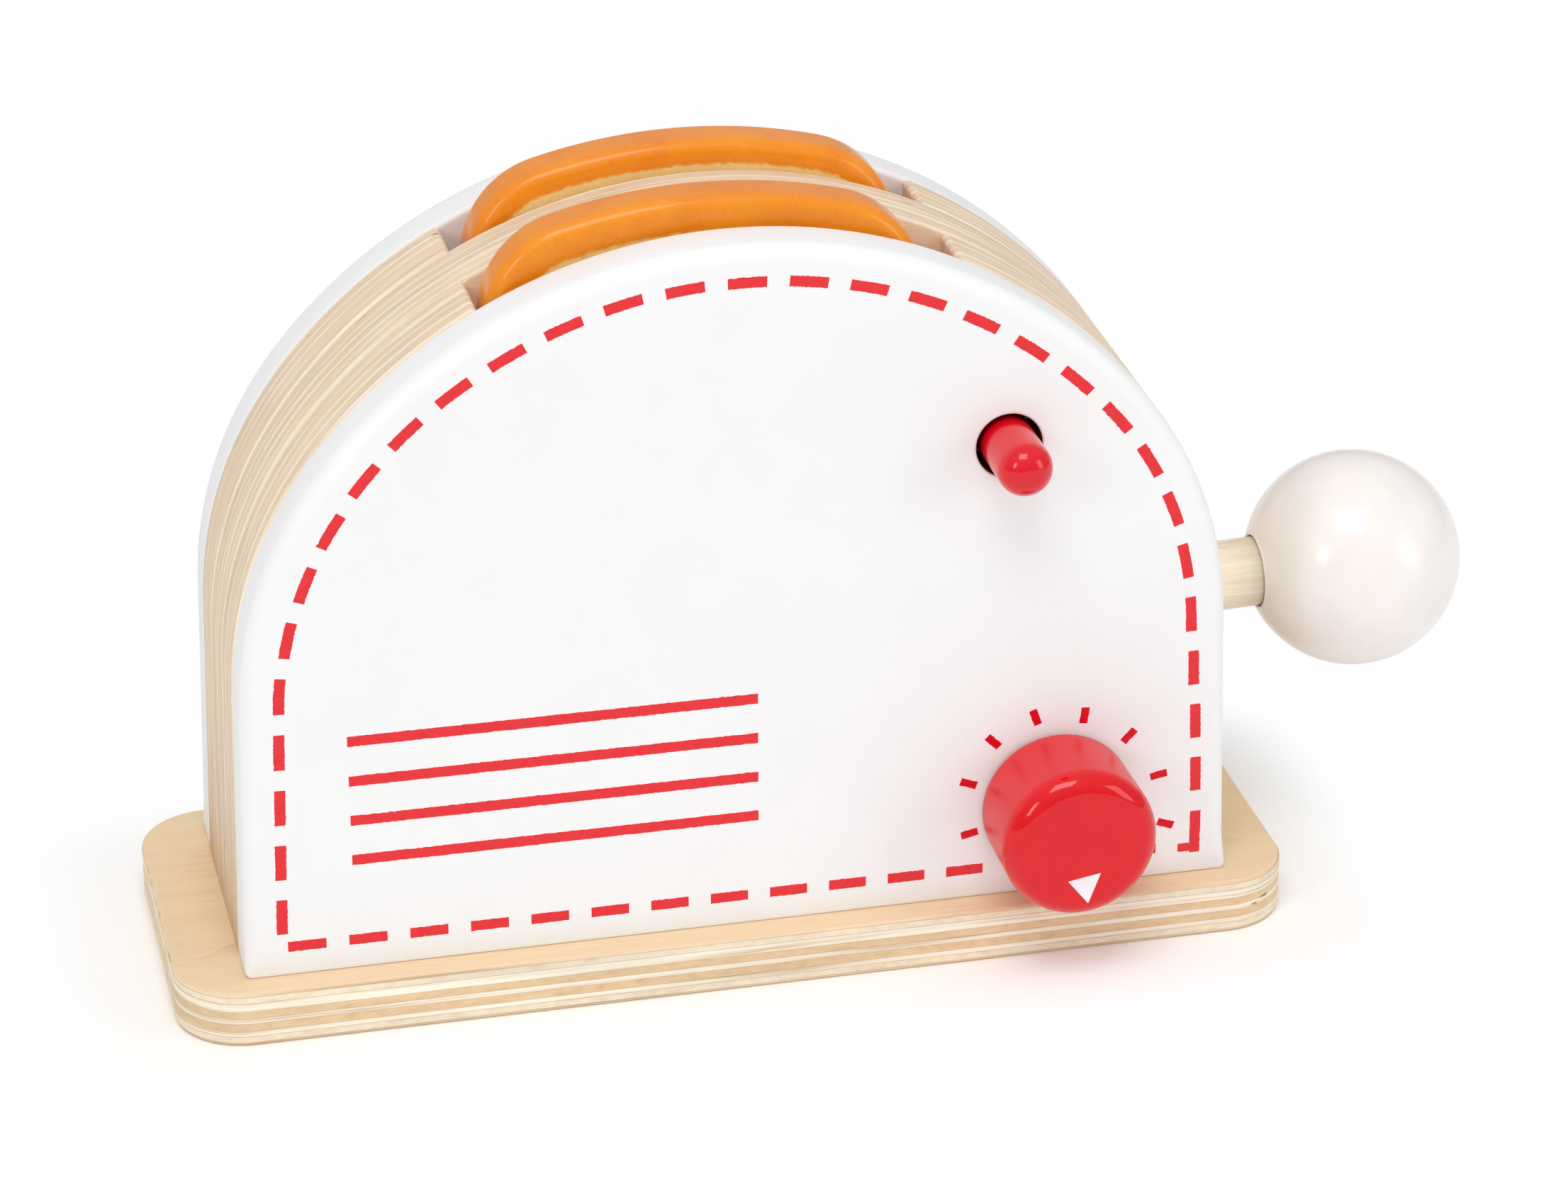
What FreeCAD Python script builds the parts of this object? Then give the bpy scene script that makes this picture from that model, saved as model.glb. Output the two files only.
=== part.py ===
import FreeCAD, Part
import math
import os

import Sketcher

# Toy toaster: a base plate carries an upright stack of five boards, cut to one
# rounded arch. Two of them are slot layers that hold a wooden slice of toast each,
# and the divider between them holds a lever that lifts both slices.
# X runs along the boards, the front panel looks towards -Y, and Z is up.
# The origin is the centre of the base plate's underside.

doc = FreeCAD.newDocument("ToyToaster")
sheet = doc.addObject("Spreadsheet::Sheet", "Sizes")

# Driving sizes in millimetres and degrees. Heights named "height" on a board are
# measured from the top of the base plate, which is called the deck.
SIZES = {
    "base_thickness": 10.5,
    "base_side_margin": 12.3,
    "base_front_margin": 5.5,
    "base_corner_radius": 13.0,
    "base_edge_round": 0.8,
    "panel_thickness": 10.5,
    "slot_layer_thickness": 13.0,
    "divider_thickness": 14.5,
    "arch_foot_width": 182.4,
    "arch_spring_width": 179.6,
    "arch_spring_height": 50.0,
    "arch_height": 131.6,
    "arch_crown_radius": 94.5,
    "panel_foot_round": 1.2,
    "panel_face_round": 3.0,
    "panel_joint_round": 1.0,
    "slot_width": 85.4,
    "slot_shift": -1.2,
    "slot_mouth_round": 1.0,
    "slice_width": 79.0,
    "slice_foot_width": 72.0,
    "slice_height": 81.0,
    "slice_thickness": 10.0,
    "slice_crown_radius": 100.0,
    "slice_shoulder_radius": 18.0,
    "slice_foot_round": 8.0,
    "slice_edge_round": 2.5,
    "front_slice_shift": -3.2,
    "rear_slice_shift": -1.4,
    "lever_pivot_shift": 55.0,
    "lever_pivot_height": 43.1,
    "lever_tilt": 2.5,
    "lever_throw": 20.0,
    "lever_rod_diameter": 13.0,
    "lever_inner_length": 64.0,
    "lever_ball_reach": 69.0,
    "lever_end_round": 1.5,
    "ball_diameter": 40.5,
    "ball_bore_depth": 13.0,
    "ball_fit_clearance": 0.05,
    "pivot_pin_diameter": 4.0,
    "pivot_pin_bite": 9.0,
    "pivot_clearance": 0.06,
    "window_clearance": 1.2,
    "lift_bar_diameter": 8.0,
    "lift_bar_end_gap": 1.0,
    "lift_bar_side_gap": 0.3,
    "resting_gap": 0.2,
    "slot_floor_gap": 0.5,
    "knob_diameter": 28.6,
    "knob_depth": 18.6,
    "knob_edge_round": 3.0,
    "knob_shift": 58.1,
    "knob_height": 18.0,
    "knob_panel_gap": 0.8,
    "felt_washer_diameter": 20.0,
    "felt_washer_gap": 0.1,
    "spindle_diameter": 9.0,
    "spindle_bite": 8.0,
    "spindle_clearance": 0.06,
    "spindle_end_play": 0.2,
    "dial_washer_diameter": 16.0,
    "dial_washer_thickness": 1.2,
    "dial_recess_margin": 1.5,
    "button_diameter": 10.0,
    "button_reach": 14.2,
    "button_dome_round": 4.4,
    "button_shift": 48.3,
    "button_height": 89.8,
    "button_hole_diameter": 12.0,
    "button_guide_clearance": 0.06,
    "collar_diameter": 12.6,
    "collar_thickness": 2.0,
    "collar_gap": 0.1,
    "spring_pocket_clearance": 0.3,
    "spring_wire": 0.9,
    "screw_shank_diameter": 3.0,
    "screw_head_diameter": 6.0,
    "screw_head_height": 2.0,
    "small_screw_length": 12.0,
    "screw_fit_clearance": 0.05,
    "base_screw_shank_diameter": 3.6,
    "base_screw_head_diameter": 7.6,
    "base_screw_length": 27.5,
    "base_screw_spacing": 40.0,
    "base_screw_recess": 0.3,
    "dowel_diameter": 6.0,
    "dowel_panel_bite": 5.0,
    "dowel_clearance": 0.05,
    "low_dowel_shift": 78.0,
    "low_dowel_height": 12.0,
    "high_dowel_shift": 70.0,
    "high_dowel_height": 80.0,
}
for row, (alias, value) in enumerate(SIZES.items(), start=1):
    sheet.set("A%d" % row, alias.replace("_", " "))
    sheet.set("B%d" % row, str(value))
    sheet.setAlias("B%d" % row, alias)
doc.recompute()


def size(expression):
    """The number that an expression of sheet names gives now."""
    return float(sheet.evalExpression(expression))


# Places worked out from the driving sizes, as expressions of the sheet's names.
# The boards stand one behind the other, centred on the base plate.
STACK = "(2 * Sizes.panel_thickness + 2 * Sizes.slot_layer_thickness + Sizes.divider_thickness)"
FRONT_FACE = "(-" + STACK + " / 2)"
FRONT_LAYER_Y = "(" + FRONT_FACE + " + Sizes.panel_thickness)"
DIVIDER_Y = "(-Sizes.divider_thickness / 2)"
REAR_LAYER_Y = "(Sizes.divider_thickness / 2)"
BACK_PANEL_Y = "(Sizes.divider_thickness / 2 + Sizes.slot_layer_thickness)"
DECK = "Sizes.base_thickness"
HALF_FOOT = "(Sizes.arch_foot_width / 2)"

# The side arc touches the crown arc and is widest at the spring height.
HALF_SPRING = "(Sizes.arch_spring_width / 2)"
CROWN_CENTRE = "(Sizes.arch_height - Sizes.arch_crown_radius)"
CROWN_DROP = "(" + CROWN_CENTRE + " - Sizes.arch_spring_height)"
SIDE_RADIUS = (
    "((Sizes.arch_crown_radius ^ 2 - " + HALF_SPRING + " ^ 2 - " + CROWN_DROP + " ^ 2)"
    " / (2 * (Sizes.arch_crown_radius - " + HALF_SPRING + ")))"
)

# The lever's rod, the lift bar that lies on its inner end, and the slices above it.
ROD_RADIUS = "(Sizes.lever_rod_diameter / 2)"
BAR_RADIUS = "(Sizes.lift_bar_diameter / 2)"
DOWN_ANGLE = "((Sizes.lever_throw - Sizes.lever_tilt) * 1 deg)"
REST_ANGLE = "(Sizes.lever_tilt * 1 deg)"
BAR_ARM = "(Sizes.lever_pivot_shift - Sizes.slot_shift)"
BAR_HEIGHT = (
    "(Sizes.lever_pivot_height - " + BAR_ARM + " * tan(" + REST_ANGLE + ")"
    " + (" + ROD_RADIUS + " + " + BAR_RADIUS + ") / cos(" + REST_ANGLE + ") + Sizes.resting_gap)"
)
LIFT_TRAVEL = (
    "(" + BAR_ARM + " * (tan(" + DOWN_ANGLE + ") + tan(" + REST_ANGLE + "))"
    " + (" + ROD_RADIUS + " + " + BAR_RADIUS + ")"
    " * (1 / cos(" + DOWN_ANGLE + ") - 1 / cos(" + REST_ANGLE + ")))"
)
SLOT_FLOOR = "(" + BAR_HEIGHT + " - " + BAR_RADIUS + " - Sizes.slot_floor_gap)"
SLICE_FOOT = "(" + BAR_HEIGHT + " + " + BAR_RADIUS + " + Sizes.resting_gap)"

XZ, XY = "XZ_Plane", "XY_Plane"
Y_TURN = FreeCAD.Rotation(FreeCAD.Vector(1, 0, 0), -90)
parts = []


def new_body(label, x="0", y="0", z="0"):
    """A body that becomes one sub-part, placed by three expressions."""
    body = doc.addObject("PartDesign::Body", label)
    body.Label = label
    place(body, x, y, z)
    parts.append(body)
    return body


def place(item, x, y, z):
    """Bind an object's position to expressions."""
    item.setExpression("Placement.Base.x", x)
    item.setExpression("Placement.Base.y", y)
    item.setExpression("Placement.Base.z", z)


def new_sketch(body, name, role=XZ, offset=None):
    """A sketch on one of the body's own planes, moved along its normal by offset."""
    sketch = body.newObject("Sketcher::SketchObject", body.Label + "_" + name)
    plane = [f for f in body.Origin.OriginFeatures if f.Role == role][0]
    sketch.AttachmentSupport = [(plane, "")]
    sketch.MapMode = "FlatFace"
    if offset:
        sketch.setExpression("AttachmentOffset.Base.z", offset)
    return sketch


def bind(sketch, constraint, expression):
    """Add a dimension and bind it to an expression."""
    index = sketch.addConstraint(constraint)
    name = "size%d" % index
    sketch.renameConstraint(index, name)
    sketch.setExpression("Constraints." + name, expression)


def pin_point(sketch, geometry, vertex, x, y):
    """Fix a point of a sketch at two expressions, from the sketch's origin."""
    bind(sketch, Sketcher.Constraint("DistanceX", -1, 1, geometry, vertex, size(x)), x)
    bind(sketch, Sketcher.Constraint("DistanceY", -1, 1, geometry, vertex, size(y)), y)


def draw_polygon(sketch, corners):
    """A closed outline of straight lines through corners given as expressions."""
    points = [FreeCAD.Vector(size(x), size(y), 0) for x, y in corners]
    count = len(points)
    lines = []
    for i in range(count):
        lines.append(sketch.addGeometry(Part.LineSegment(points[i], points[(i + 1) % count])))
    for i in range(count):
        sketch.addConstraint(Sketcher.Constraint("Coincident", lines[i], 2, lines[(i + 1) % count], 1))
        pin_point(sketch, lines[i], 1, corners[i][0], corners[i][1])


def draw_box(sketch, left, right, bottom, top):
    """A rectangle between four expressions."""
    draw_polygon(sketch, [(left, bottom), (right, bottom), (right, top), (left, top)])


def draw_circle(sketch, x, y, radius):
    """A circle whose centre and radius are expressions."""
    centre = FreeCAD.Vector(size(x), size(y), 0)
    circle = sketch.addGeometry(Part.Circle(centre, FreeCAD.Vector(0, 0, 1), size(radius)))
    pin_point(sketch, circle, 3, x, y)
    bind(sketch, Sketcher.Constraint("Radius", circle, size(radius)), radius)


def draw_arch(sketch):
    """The boards' outline: leaning sides, a side arc each, and one crown arc."""
    foot, spring_z = size(HALF_FOOT), size("Sizes.arch_spring_height")
    crown_r, crown_z = size("Sizes.arch_crown_radius"), size(CROWN_CENTRE)
    side_r = size(SIDE_RADIUS)
    side_x = size(HALF_SPRING) - side_r
    meet = math.atan2(spring_z - crown_z, side_x)
    lean = math.atan2(foot - size(HALF_SPRING), spring_z)
    normal = FreeCAD.Vector(0, 0, 1)
    right_circle = Part.Circle(FreeCAD.Vector(side_x, spring_z, 0), normal, side_r)
    crown_circle = Part.Circle(FreeCAD.Vector(0, crown_z, 0), normal, crown_r)
    left_circle = Part.Circle(FreeCAD.Vector(-side_x, spring_z, 0), normal, side_r)
    right_start = right_circle.value(lean)
    left_end = left_circle.value(math.pi - lean)
    left_foot = FreeCAD.Vector(-foot, 0, 0)
    right_foot = FreeCAD.Vector(foot, 0, 0)
    base = sketch.addGeometry(Part.LineSegment(left_foot, right_foot))
    right = sketch.addGeometry(Part.LineSegment(right_foot, right_start))
    right_arc = sketch.addGeometry(Part.ArcOfCircle(right_circle, lean, meet))
    crown = sketch.addGeometry(Part.ArcOfCircle(crown_circle, meet, math.pi - meet))
    left_arc = sketch.addGeometry(Part.ArcOfCircle(left_circle, math.pi - meet, math.pi - lean))
    left = sketch.addGeometry(Part.LineSegment(left_end, left_foot))
    sketch.addConstraint(Sketcher.Constraint("Coincident", base, 2, right, 1))
    sketch.addConstraint(Sketcher.Constraint("Tangent", right, 2, right_arc, 1))
    sketch.addConstraint(Sketcher.Constraint("Tangent", right_arc, 2, crown, 1))
    sketch.addConstraint(Sketcher.Constraint("Tangent", crown, 2, left_arc, 1))
    sketch.addConstraint(Sketcher.Constraint("Tangent", left_arc, 2, left, 1))
    sketch.addConstraint(Sketcher.Constraint("Coincident", left, 2, base, 1))
    pin_point(sketch, base, 1, "-" + HALF_FOOT, "0")
    pin_point(sketch, base, 2, HALF_FOOT, "0")
    pin_point(sketch, crown, 3, "0", CROWN_CENTRE)
    bind(sketch, Sketcher.Constraint("Radius", crown, crown_r), "Sizes.arch_crown_radius")
    for arc in (right_arc, left_arc):
        bind(sketch, Sketcher.Constraint("Radius", arc, side_r), SIDE_RADIUS)
        height = Sketcher.Constraint("DistanceY", -1, 1, arc, 3, spring_z)
        bind(sketch, height, "Sizes.arch_spring_height")


def pad(body, sketch, length, reverse=True):
    """Pad a sketch. On the XZ plane the reversed pad grows towards +Y."""
    feature = body.newObject("PartDesign::Pad", sketch.Label + "_pad")
    feature.Profile = sketch
    feature.Reversed = reverse
    feature.setExpression("Length", length)
    doc.recompute()
    return feature


def pocket(body, sketch, depth=None, reverse=False):
    """Cut a sketch, through everything unless a depth is given, and check that it cut."""
    before = body.Shape.Volume
    feature = body.newObject("PartDesign::Pocket", sketch.Label + "_cut")
    feature.Profile = sketch
    feature.Reversed = reverse
    if depth:
        feature.setExpression("Length", depth)
    else:
        feature.Type = "ThroughAll"
    doc.recompute()
    if not body.Shape.Volume < before:
        raise RuntimeError(feature.Label + " cuts nothing")
    return feature


def round_edges(body, name, radius, wanted):
    """Round the edges of the body's tip that the test picks."""
    tip = body.Tip
    names = ["Edge%d" % i for i, edge in enumerate(tip.Shape.Edges, start=1) if wanted(edge)]
    if not names:
        raise RuntimeError(body.Label + "_" + name + " finds no edge")
    feature = body.newObject("PartDesign::Fillet", body.Label + "_" + name)
    feature.Base = (tip, names)
    feature.setExpression("Radius", radius)
    doc.recompute()
    return feature


def lies_at_y(edge, y):
    """True when the whole edge lies in the plane of one Y, in the body's own frame."""
    box = edge.BoundBox
    return abs(box.YMin - y) < 1e-4 and abs(box.YMax - y) < 1e-4


def cylinder_along_y(name, x, y, z, radius, length):
    """A plain cylinder that runs from y towards +Y."""
    item = doc.addObject("Part::Cylinder", name)
    item.Placement.Rotation = Y_TURN
    place(item, x, y, z)
    item.setExpression("Radius", radius)
    item.setExpression("Height", length)
    return item


def ring_along_y(label, x, y, z, outer, inner, thickness):
    """A washer that runs from y towards +Y."""
    disc = cylinder_along_y(label + "_disc", x, y, z, outer, thickness)
    hole = cylinder_along_y(label + "_hole", x, y, z, inner, thickness)
    ring = doc.addObject("Part::Cut", label)
    ring.Base = disc
    ring.Tool = hole
    ring.Label = label
    parts.append(ring)
    return ring


def on_deck(height):
    """A height on a board, as a height above the base plate's underside."""
    return "(" + DECK + " + " + height + ")"


# Where the four hidden dowels cross the stack, as pairs of X and height.
DOWELS = []
for side in ("-", ""):
    DOWELS.append((side + "Sizes.low_dowel_shift", "Sizes.low_dowel_height"))
    DOWELS.append((side + "Sizes.high_dowel_shift", "Sizes.high_dowel_height"))
DOWEL_HOLE = "(Sizes.dowel_diameter / 2 + Sizes.dowel_clearance)"
# Where the four screws stand in a row under the divider.
SCREW_SHIFTS = ["%s * Sizes.base_screw_spacing" % step for step in ("-1.5", "-0.5", "0.5", "1.5")]


def dowel_holes(body, name, offset, depth, reverse):
    """Cut the holes for the four dowels into a board."""
    sketch = new_sketch(body, name, XZ, offset)
    for x, height in DOWELS:
        draw_circle(sketch, x, height, DOWEL_HOLE)
    pocket(body, sketch, depth, reverse)


def base_plate():
    """The plywood plate that everything stands on."""
    body = new_body("base_plate")
    half_x = "(" + HALF_FOOT + " + Sizes.base_side_margin)"
    half_y = "(" + STACK + " / 2 + Sizes.base_front_margin)"
    outline = new_sketch(body, "outline", XY)
    draw_box(outline, "-" + half_x, half_x, "-" + half_y, half_y)
    pad(body, outline, "Sizes.base_thickness", reverse=False)

    def upright(edge):
        return edge.BoundBox.ZLength > size("Sizes.base_thickness") - 1e-4

    def rim(edge):
        return edge.BoundBox.ZLength < 1e-4

    round_edges(body, "corners", "Sizes.base_corner_radius", upright)
    round_edges(body, "rim", "Sizes.base_edge_round", rim)
    holes = new_sketch(body, "screw_holes", XY)
    for x in SCREW_SHIFTS:
        draw_circle(holes, x, "0", "Sizes.base_screw_shank_diameter / 2 + Sizes.screw_fit_clearance")
    pocket(body, holes, reverse=True)

    def mouth(edge):
        round_edge = isinstance(edge.Curve, Part.Circle)
        small = round_edge and edge.Curve.Radius < size("Sizes.base_screw_head_diameter / 2")
        return small and abs(edge.BoundBox.ZMax) < 1e-4

    tip = body.Tip
    mouths = ["Edge%d" % i for i, edge in enumerate(tip.Shape.Edges, start=1) if mouth(edge)]
    countersink = body.newObject("PartDesign::Chamfer", "base_plate_countersinks")
    countersink.Base = (tip, mouths)
    countersink.setExpression(
        "Size",
        "(Sizes.base_screw_head_diameter - Sizes.base_screw_shank_diameter) / 2 + Sizes.base_screw_recess",
    )
    doc.recompute()


def panel(label, y, face_at_front):
    """A lacquered outer board with a rounded outer arris and a finer inner one."""
    body = new_body(label, "0", y, DECK)
    outline = new_sketch(body, "outline")
    draw_arch(outline)
    pad(body, outline, "Sizes.panel_thickness")
    thickness = size("Sizes.panel_thickness")
    face, joint = (0.0, thickness) if face_at_front else (thickness, 0.0)

    def arch_at(y):
        return lambda edge: lies_at_y(edge, y) and edge.BoundBox.ZMax > 1.0

    round_edges(body, "face", "Sizes.panel_face_round", arch_at(face))
    round_edges(body, "joint", "Sizes.panel_joint_round", arch_at(joint))
    round_edges(body, "foot", "Sizes.panel_foot_round", lambda edge: edge.BoundBox.ZMax < 1e-4)
    return body


def front_panel():
    """The printed front board, with holes for the button, the dial and the dowels."""
    body = panel("front_panel", FRONT_FACE, True)
    holes = new_sketch(body, "holes")
    draw_circle(
        holes, "Sizes.button_shift", "Sizes.button_height", "Sizes.button_hole_diameter / 2"
    )
    draw_circle(
        holes, "Sizes.knob_shift", "Sizes.knob_height",
        "Sizes.spindle_diameter / 2 + Sizes.spindle_clearance",
    )
    pocket(body, holes)
    dowel_holes(body, "dowel_holes", "-Sizes.panel_thickness", "Sizes.dowel_panel_bite", True)


def back_panel():
    """The plain back board."""
    body = panel("back_panel", BACK_PANEL_Y, False)
    dowel_holes(body, "dowel_holes", None, "Sizes.dowel_panel_bite", False)


def slot_layer(label, y, pin_offset, pin_reverse):
    """A plywood board with a slot for one slice, open at the top."""
    body = new_body(label, "0", y, DECK)
    outline = new_sketch(body, "outline")
    draw_arch(outline)
    pad(body, outline, "Sizes.slot_layer_thickness")
    left = "(Sizes.slot_shift - Sizes.slot_width / 2)"
    right = "(Sizes.slot_shift + Sizes.slot_width / 2)"
    slot = new_sketch(body, "slot")
    draw_box(slot, left, right, SLOT_FLOOR, "Sizes.arch_height * 1.1")
    pocket(body, slot)

    def mouth(edge):
        box = edge.BoundBox
        across = box.YLength > size("Sizes.slot_layer_thickness") - 1e-4
        walls = min(abs(box.XMax - size(left)), abs(box.XMax - size(right))) < 1e-3
        return across and walls and box.ZMin > size(SLOT_FLOOR) + 1.0

    round_edges(body, "mouth", "Sizes.slot_mouth_round", mouth)
    dowel_holes(body, "dowel_holes", None, None, False)
    pin = new_sketch(body, "pin_hole", XZ, pin_offset)
    draw_circle(
        pin, "Sizes.lever_pivot_shift", "Sizes.lever_pivot_height",
        "Sizes.pivot_pin_diameter / 2 + Sizes.dowel_clearance",
    )
    pocket(body, pin, "Sizes.pivot_pin_bite + Sizes.resting_gap", pin_reverse)
    return body


def front_slot_layer():
    """The front slot board also guides the button and hides the dial's washer."""
    body = slot_layer("front_slot_layer", FRONT_LAYER_Y, "-Sizes.slot_layer_thickness", True)
    guide = new_sketch(body, "button_guide")
    draw_circle(
        guide, "Sizes.button_shift", "Sizes.button_height",
        "Sizes.button_diameter / 2 + Sizes.button_guide_clearance",
    )
    pocket(body, guide)
    recess = new_sketch(body, "dial_recess")
    draw_circle(
        recess, "Sizes.knob_shift", "Sizes.knob_height",
        "Sizes.dial_washer_diameter / 2 + Sizes.dial_recess_margin",
    )
    depth = (
        "Sizes.spindle_end_play + Sizes.dial_washer_thickness"
        " + Sizes.screw_head_height + Sizes.dial_recess_margin"
    )
    pocket(body, recess, depth)


def divider_layer():
    """The middle board. The lever rocks in its window, and the lift bar runs up its slot."""
    body = new_body("divider_layer", "0", DIVIDER_Y, DECK)
    outline = new_sketch(body, "outline")
    draw_arch(outline)
    pad(body, outline, "Sizes.divider_thickness")
    pivot_x, pivot_z = "Sizes.lever_pivot_shift", "Sizes.lever_pivot_height"
    gap = "Sizes.window_clearance"
    outside = "(" + HALF_FOOT + " * 1.1)"
    inside = "(" + pivot_x + " - Sizes.lever_inner_length - Sizes.window_clearance)"
    steep = "(" + ROD_RADIUS + " / cos(" + DOWN_ANGLE + ") + " + gap + ")"
    floor = (
        "(" + pivot_z + " - Sizes.lever_inner_length * sin(" + REST_ANGLE + ")"
        " - " + ROD_RADIUS + " * cos(" + REST_ANGLE + ") - Sizes.resting_gap)"
    )
    window = new_sketch(body, "lever_window")
    draw_polygon(
        window,
        [
            (outside, pivot_z + " + (" + outside + " - " + pivot_x + ") * tan(" + REST_ANGLE + ") + " + steep),
            (pivot_x, pivot_z + " + " + steep),
            (inside, pivot_z + " + (" + pivot_x + " - " + inside + ") * tan(" + DOWN_ANGLE + ") + " + steep),
            (inside, floor),
            (pivot_x, floor),
            (outside, pivot_z + " - (" + outside + " - " + pivot_x + ") * tan(" + DOWN_ANGLE + ") - " + steep),
        ],
    )
    pocket(body, window)
    half_slot = "(" + BAR_RADIUS + " + Sizes.lift_bar_side_gap)"
    lift_slot = new_sketch(body, "lift_slot")
    draw_box(
        lift_slot,
        "Sizes.slot_shift - " + half_slot,
        "Sizes.slot_shift + " + half_slot,
        BAR_HEIGHT,
        BAR_HEIGHT + " + " + LIFT_TRAVEL + " + " + BAR_RADIUS + " + Sizes.window_clearance",
    )
    pocket(body, lift_slot)
    spring_hole = new_sketch(body, "spring_hole")
    draw_circle(
        spring_hole, "Sizes.button_shift", "Sizes.button_height",
        "Sizes.collar_diameter / 2 + Sizes.spring_pocket_clearance",
    )
    pocket(body, spring_hole)
    dowel_holes(body, "dowel_holes", None, None, False)
    screws = new_sketch(body, "screw_holes", XY)
    for x in SCREW_SHIFTS:
        draw_circle(
            screws, x, "Sizes.divider_thickness / 2",
            "Sizes.base_screw_shank_diameter / 2 + Sizes.screw_fit_clearance",
        )
    pocket(body, screws, "Sizes.base_screw_length - Sizes.base_thickness + Sizes.resting_gap", True)


def draw_slice(sketch):
    """A slice of toast: a slightly crowned top, round shoulders and a narrower foot."""
    half, foot = size("Sizes.slice_width / 2"), size("Sizes.slice_foot_width / 2")
    height = size("Sizes.slice_height")
    crown_r, shoulder_r = size("Sizes.slice_crown_radius"), size("Sizes.slice_shoulder_radius")
    shoulder_x = half - shoulder_r
    crown_z = height - crown_r
    shoulder_z = crown_z + math.sqrt((crown_r - shoulder_r) ** 2 - shoulder_x**2)
    meet = math.atan2(shoulder_z - crown_z, shoulder_x)
    lean = -math.atan2(half - foot, shoulder_z)
    normal = FreeCAD.Vector(0, 0, 1)
    right_circle = Part.Circle(FreeCAD.Vector(shoulder_x, shoulder_z, 0), normal, shoulder_r)
    left_circle = Part.Circle(FreeCAD.Vector(-shoulder_x, shoulder_z, 0), normal, shoulder_r)
    crown_circle = Part.Circle(FreeCAD.Vector(0, crown_z, 0), normal, crown_r)
    left_foot = FreeCAD.Vector(-foot, 0, 0)
    right_foot = FreeCAD.Vector(foot, 0, 0)
    base = sketch.addGeometry(Part.LineSegment(left_foot, right_foot))
    right = sketch.addGeometry(Part.LineSegment(right_foot, right_circle.value(lean)))
    right_arc = sketch.addGeometry(Part.ArcOfCircle(right_circle, lean, meet))
    crown = sketch.addGeometry(Part.ArcOfCircle(crown_circle, meet, math.pi - meet))
    left_arc = sketch.addGeometry(Part.ArcOfCircle(left_circle, math.pi - meet, math.pi - lean))
    left = sketch.addGeometry(Part.LineSegment(left_circle.value(math.pi - lean), left_foot))
    sketch.addConstraint(Sketcher.Constraint("Coincident", base, 2, right, 1))
    sketch.addConstraint(Sketcher.Constraint("Tangent", right, 2, right_arc, 1))
    sketch.addConstraint(Sketcher.Constraint("Tangent", right_arc, 2, crown, 1))
    sketch.addConstraint(Sketcher.Constraint("Tangent", crown, 2, left_arc, 1))
    sketch.addConstraint(Sketcher.Constraint("Tangent", left_arc, 2, left, 1))
    sketch.addConstraint(Sketcher.Constraint("Coincident", left, 2, base, 1))
    pin_point(sketch, base, 1, "-Sizes.slice_foot_width / 2", "0")
    pin_point(sketch, base, 2, "Sizes.slice_foot_width / 2", "0")
    pin_point(sketch, crown, 3, "0", "Sizes.slice_height - Sizes.slice_crown_radius")
    bind(sketch, Sketcher.Constraint("Radius", crown, crown_r), "Sizes.slice_crown_radius")
    for arc, sign in ((right_arc, ""), (left_arc, "-")):
        bind(sketch, Sketcher.Constraint("Radius", arc, shoulder_r), "Sizes.slice_shoulder_radius")
        place_x = sign + "(Sizes.slice_width / 2 - Sizes.slice_shoulder_radius)"
        bind(sketch, Sketcher.Constraint("DistanceX", -1, 1, arc, 3, size(place_x)), place_x)


def toast_slice(label, shift, slot_y):
    """A wooden slice of toast, standing on the lift bar in the middle of its slot."""
    y = "(" + slot_y + " + (Sizes.slot_layer_thickness - Sizes.slice_thickness) / 2)"
    body = new_body(label, shift, y, on_deck(SLICE_FOOT))
    outline = new_sketch(body, "outline")
    draw_slice(outline)
    pad(body, outline, "Sizes.slice_thickness")
    thickness = size("Sizes.slice_thickness")

    def foot_corner(edge):
        box = edge.BoundBox
        return box.YLength > thickness - 1e-4 and abs(box.ZMax) < 1e-4

    round_edges(body, "foot", "Sizes.slice_foot_round", foot_corner)
    round_edges(
        body, "rim", "Sizes.slice_edge_round",
        lambda edge: lies_at_y(edge, 0.0) or lies_at_y(edge, thickness),
    )


def lever_frame(label):
    """A body in the lever's own frame: origin on the pivot, X along the rod to the ball."""
    body = new_body(label, "Sizes.lever_pivot_shift", "0", on_deck("Sizes.lever_pivot_height"))
    body.Placement.Rotation = FreeCAD.Rotation(FreeCAD.Vector(0, -1, 0), size("Sizes.lever_tilt"))
    body.setExpression("Placement.Rotation.Angle", REST_ANGLE)
    return body


def lever_rod():
    """The round wooden rod that rocks on the pin."""
    body = lever_frame("lever_rod")
    end = "(Sizes.lever_ball_reach - Sizes.ball_diameter / 2 + Sizes.ball_bore_depth)"
    section = new_sketch(body, "section", "YZ_Plane", "-Sizes.lever_inner_length")
    draw_circle(section, "0", "0", ROD_RADIUS)
    pad(body, section, "Sizes.lever_inner_length + " + end, reverse=False)
    round_edges(
        body, "inner_end", "Sizes.lever_end_round",
        lambda edge: edge.BoundBox.XMax < -size("Sizes.lever_inner_length") + 1e-4,
    )
    hole = new_sketch(body, "pin_hole", XZ, ROD_RADIUS)
    draw_circle(hole, "0", "0", "Sizes.pivot_pin_diameter / 2 + Sizes.pivot_clearance")
    pocket(body, hole)


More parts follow.
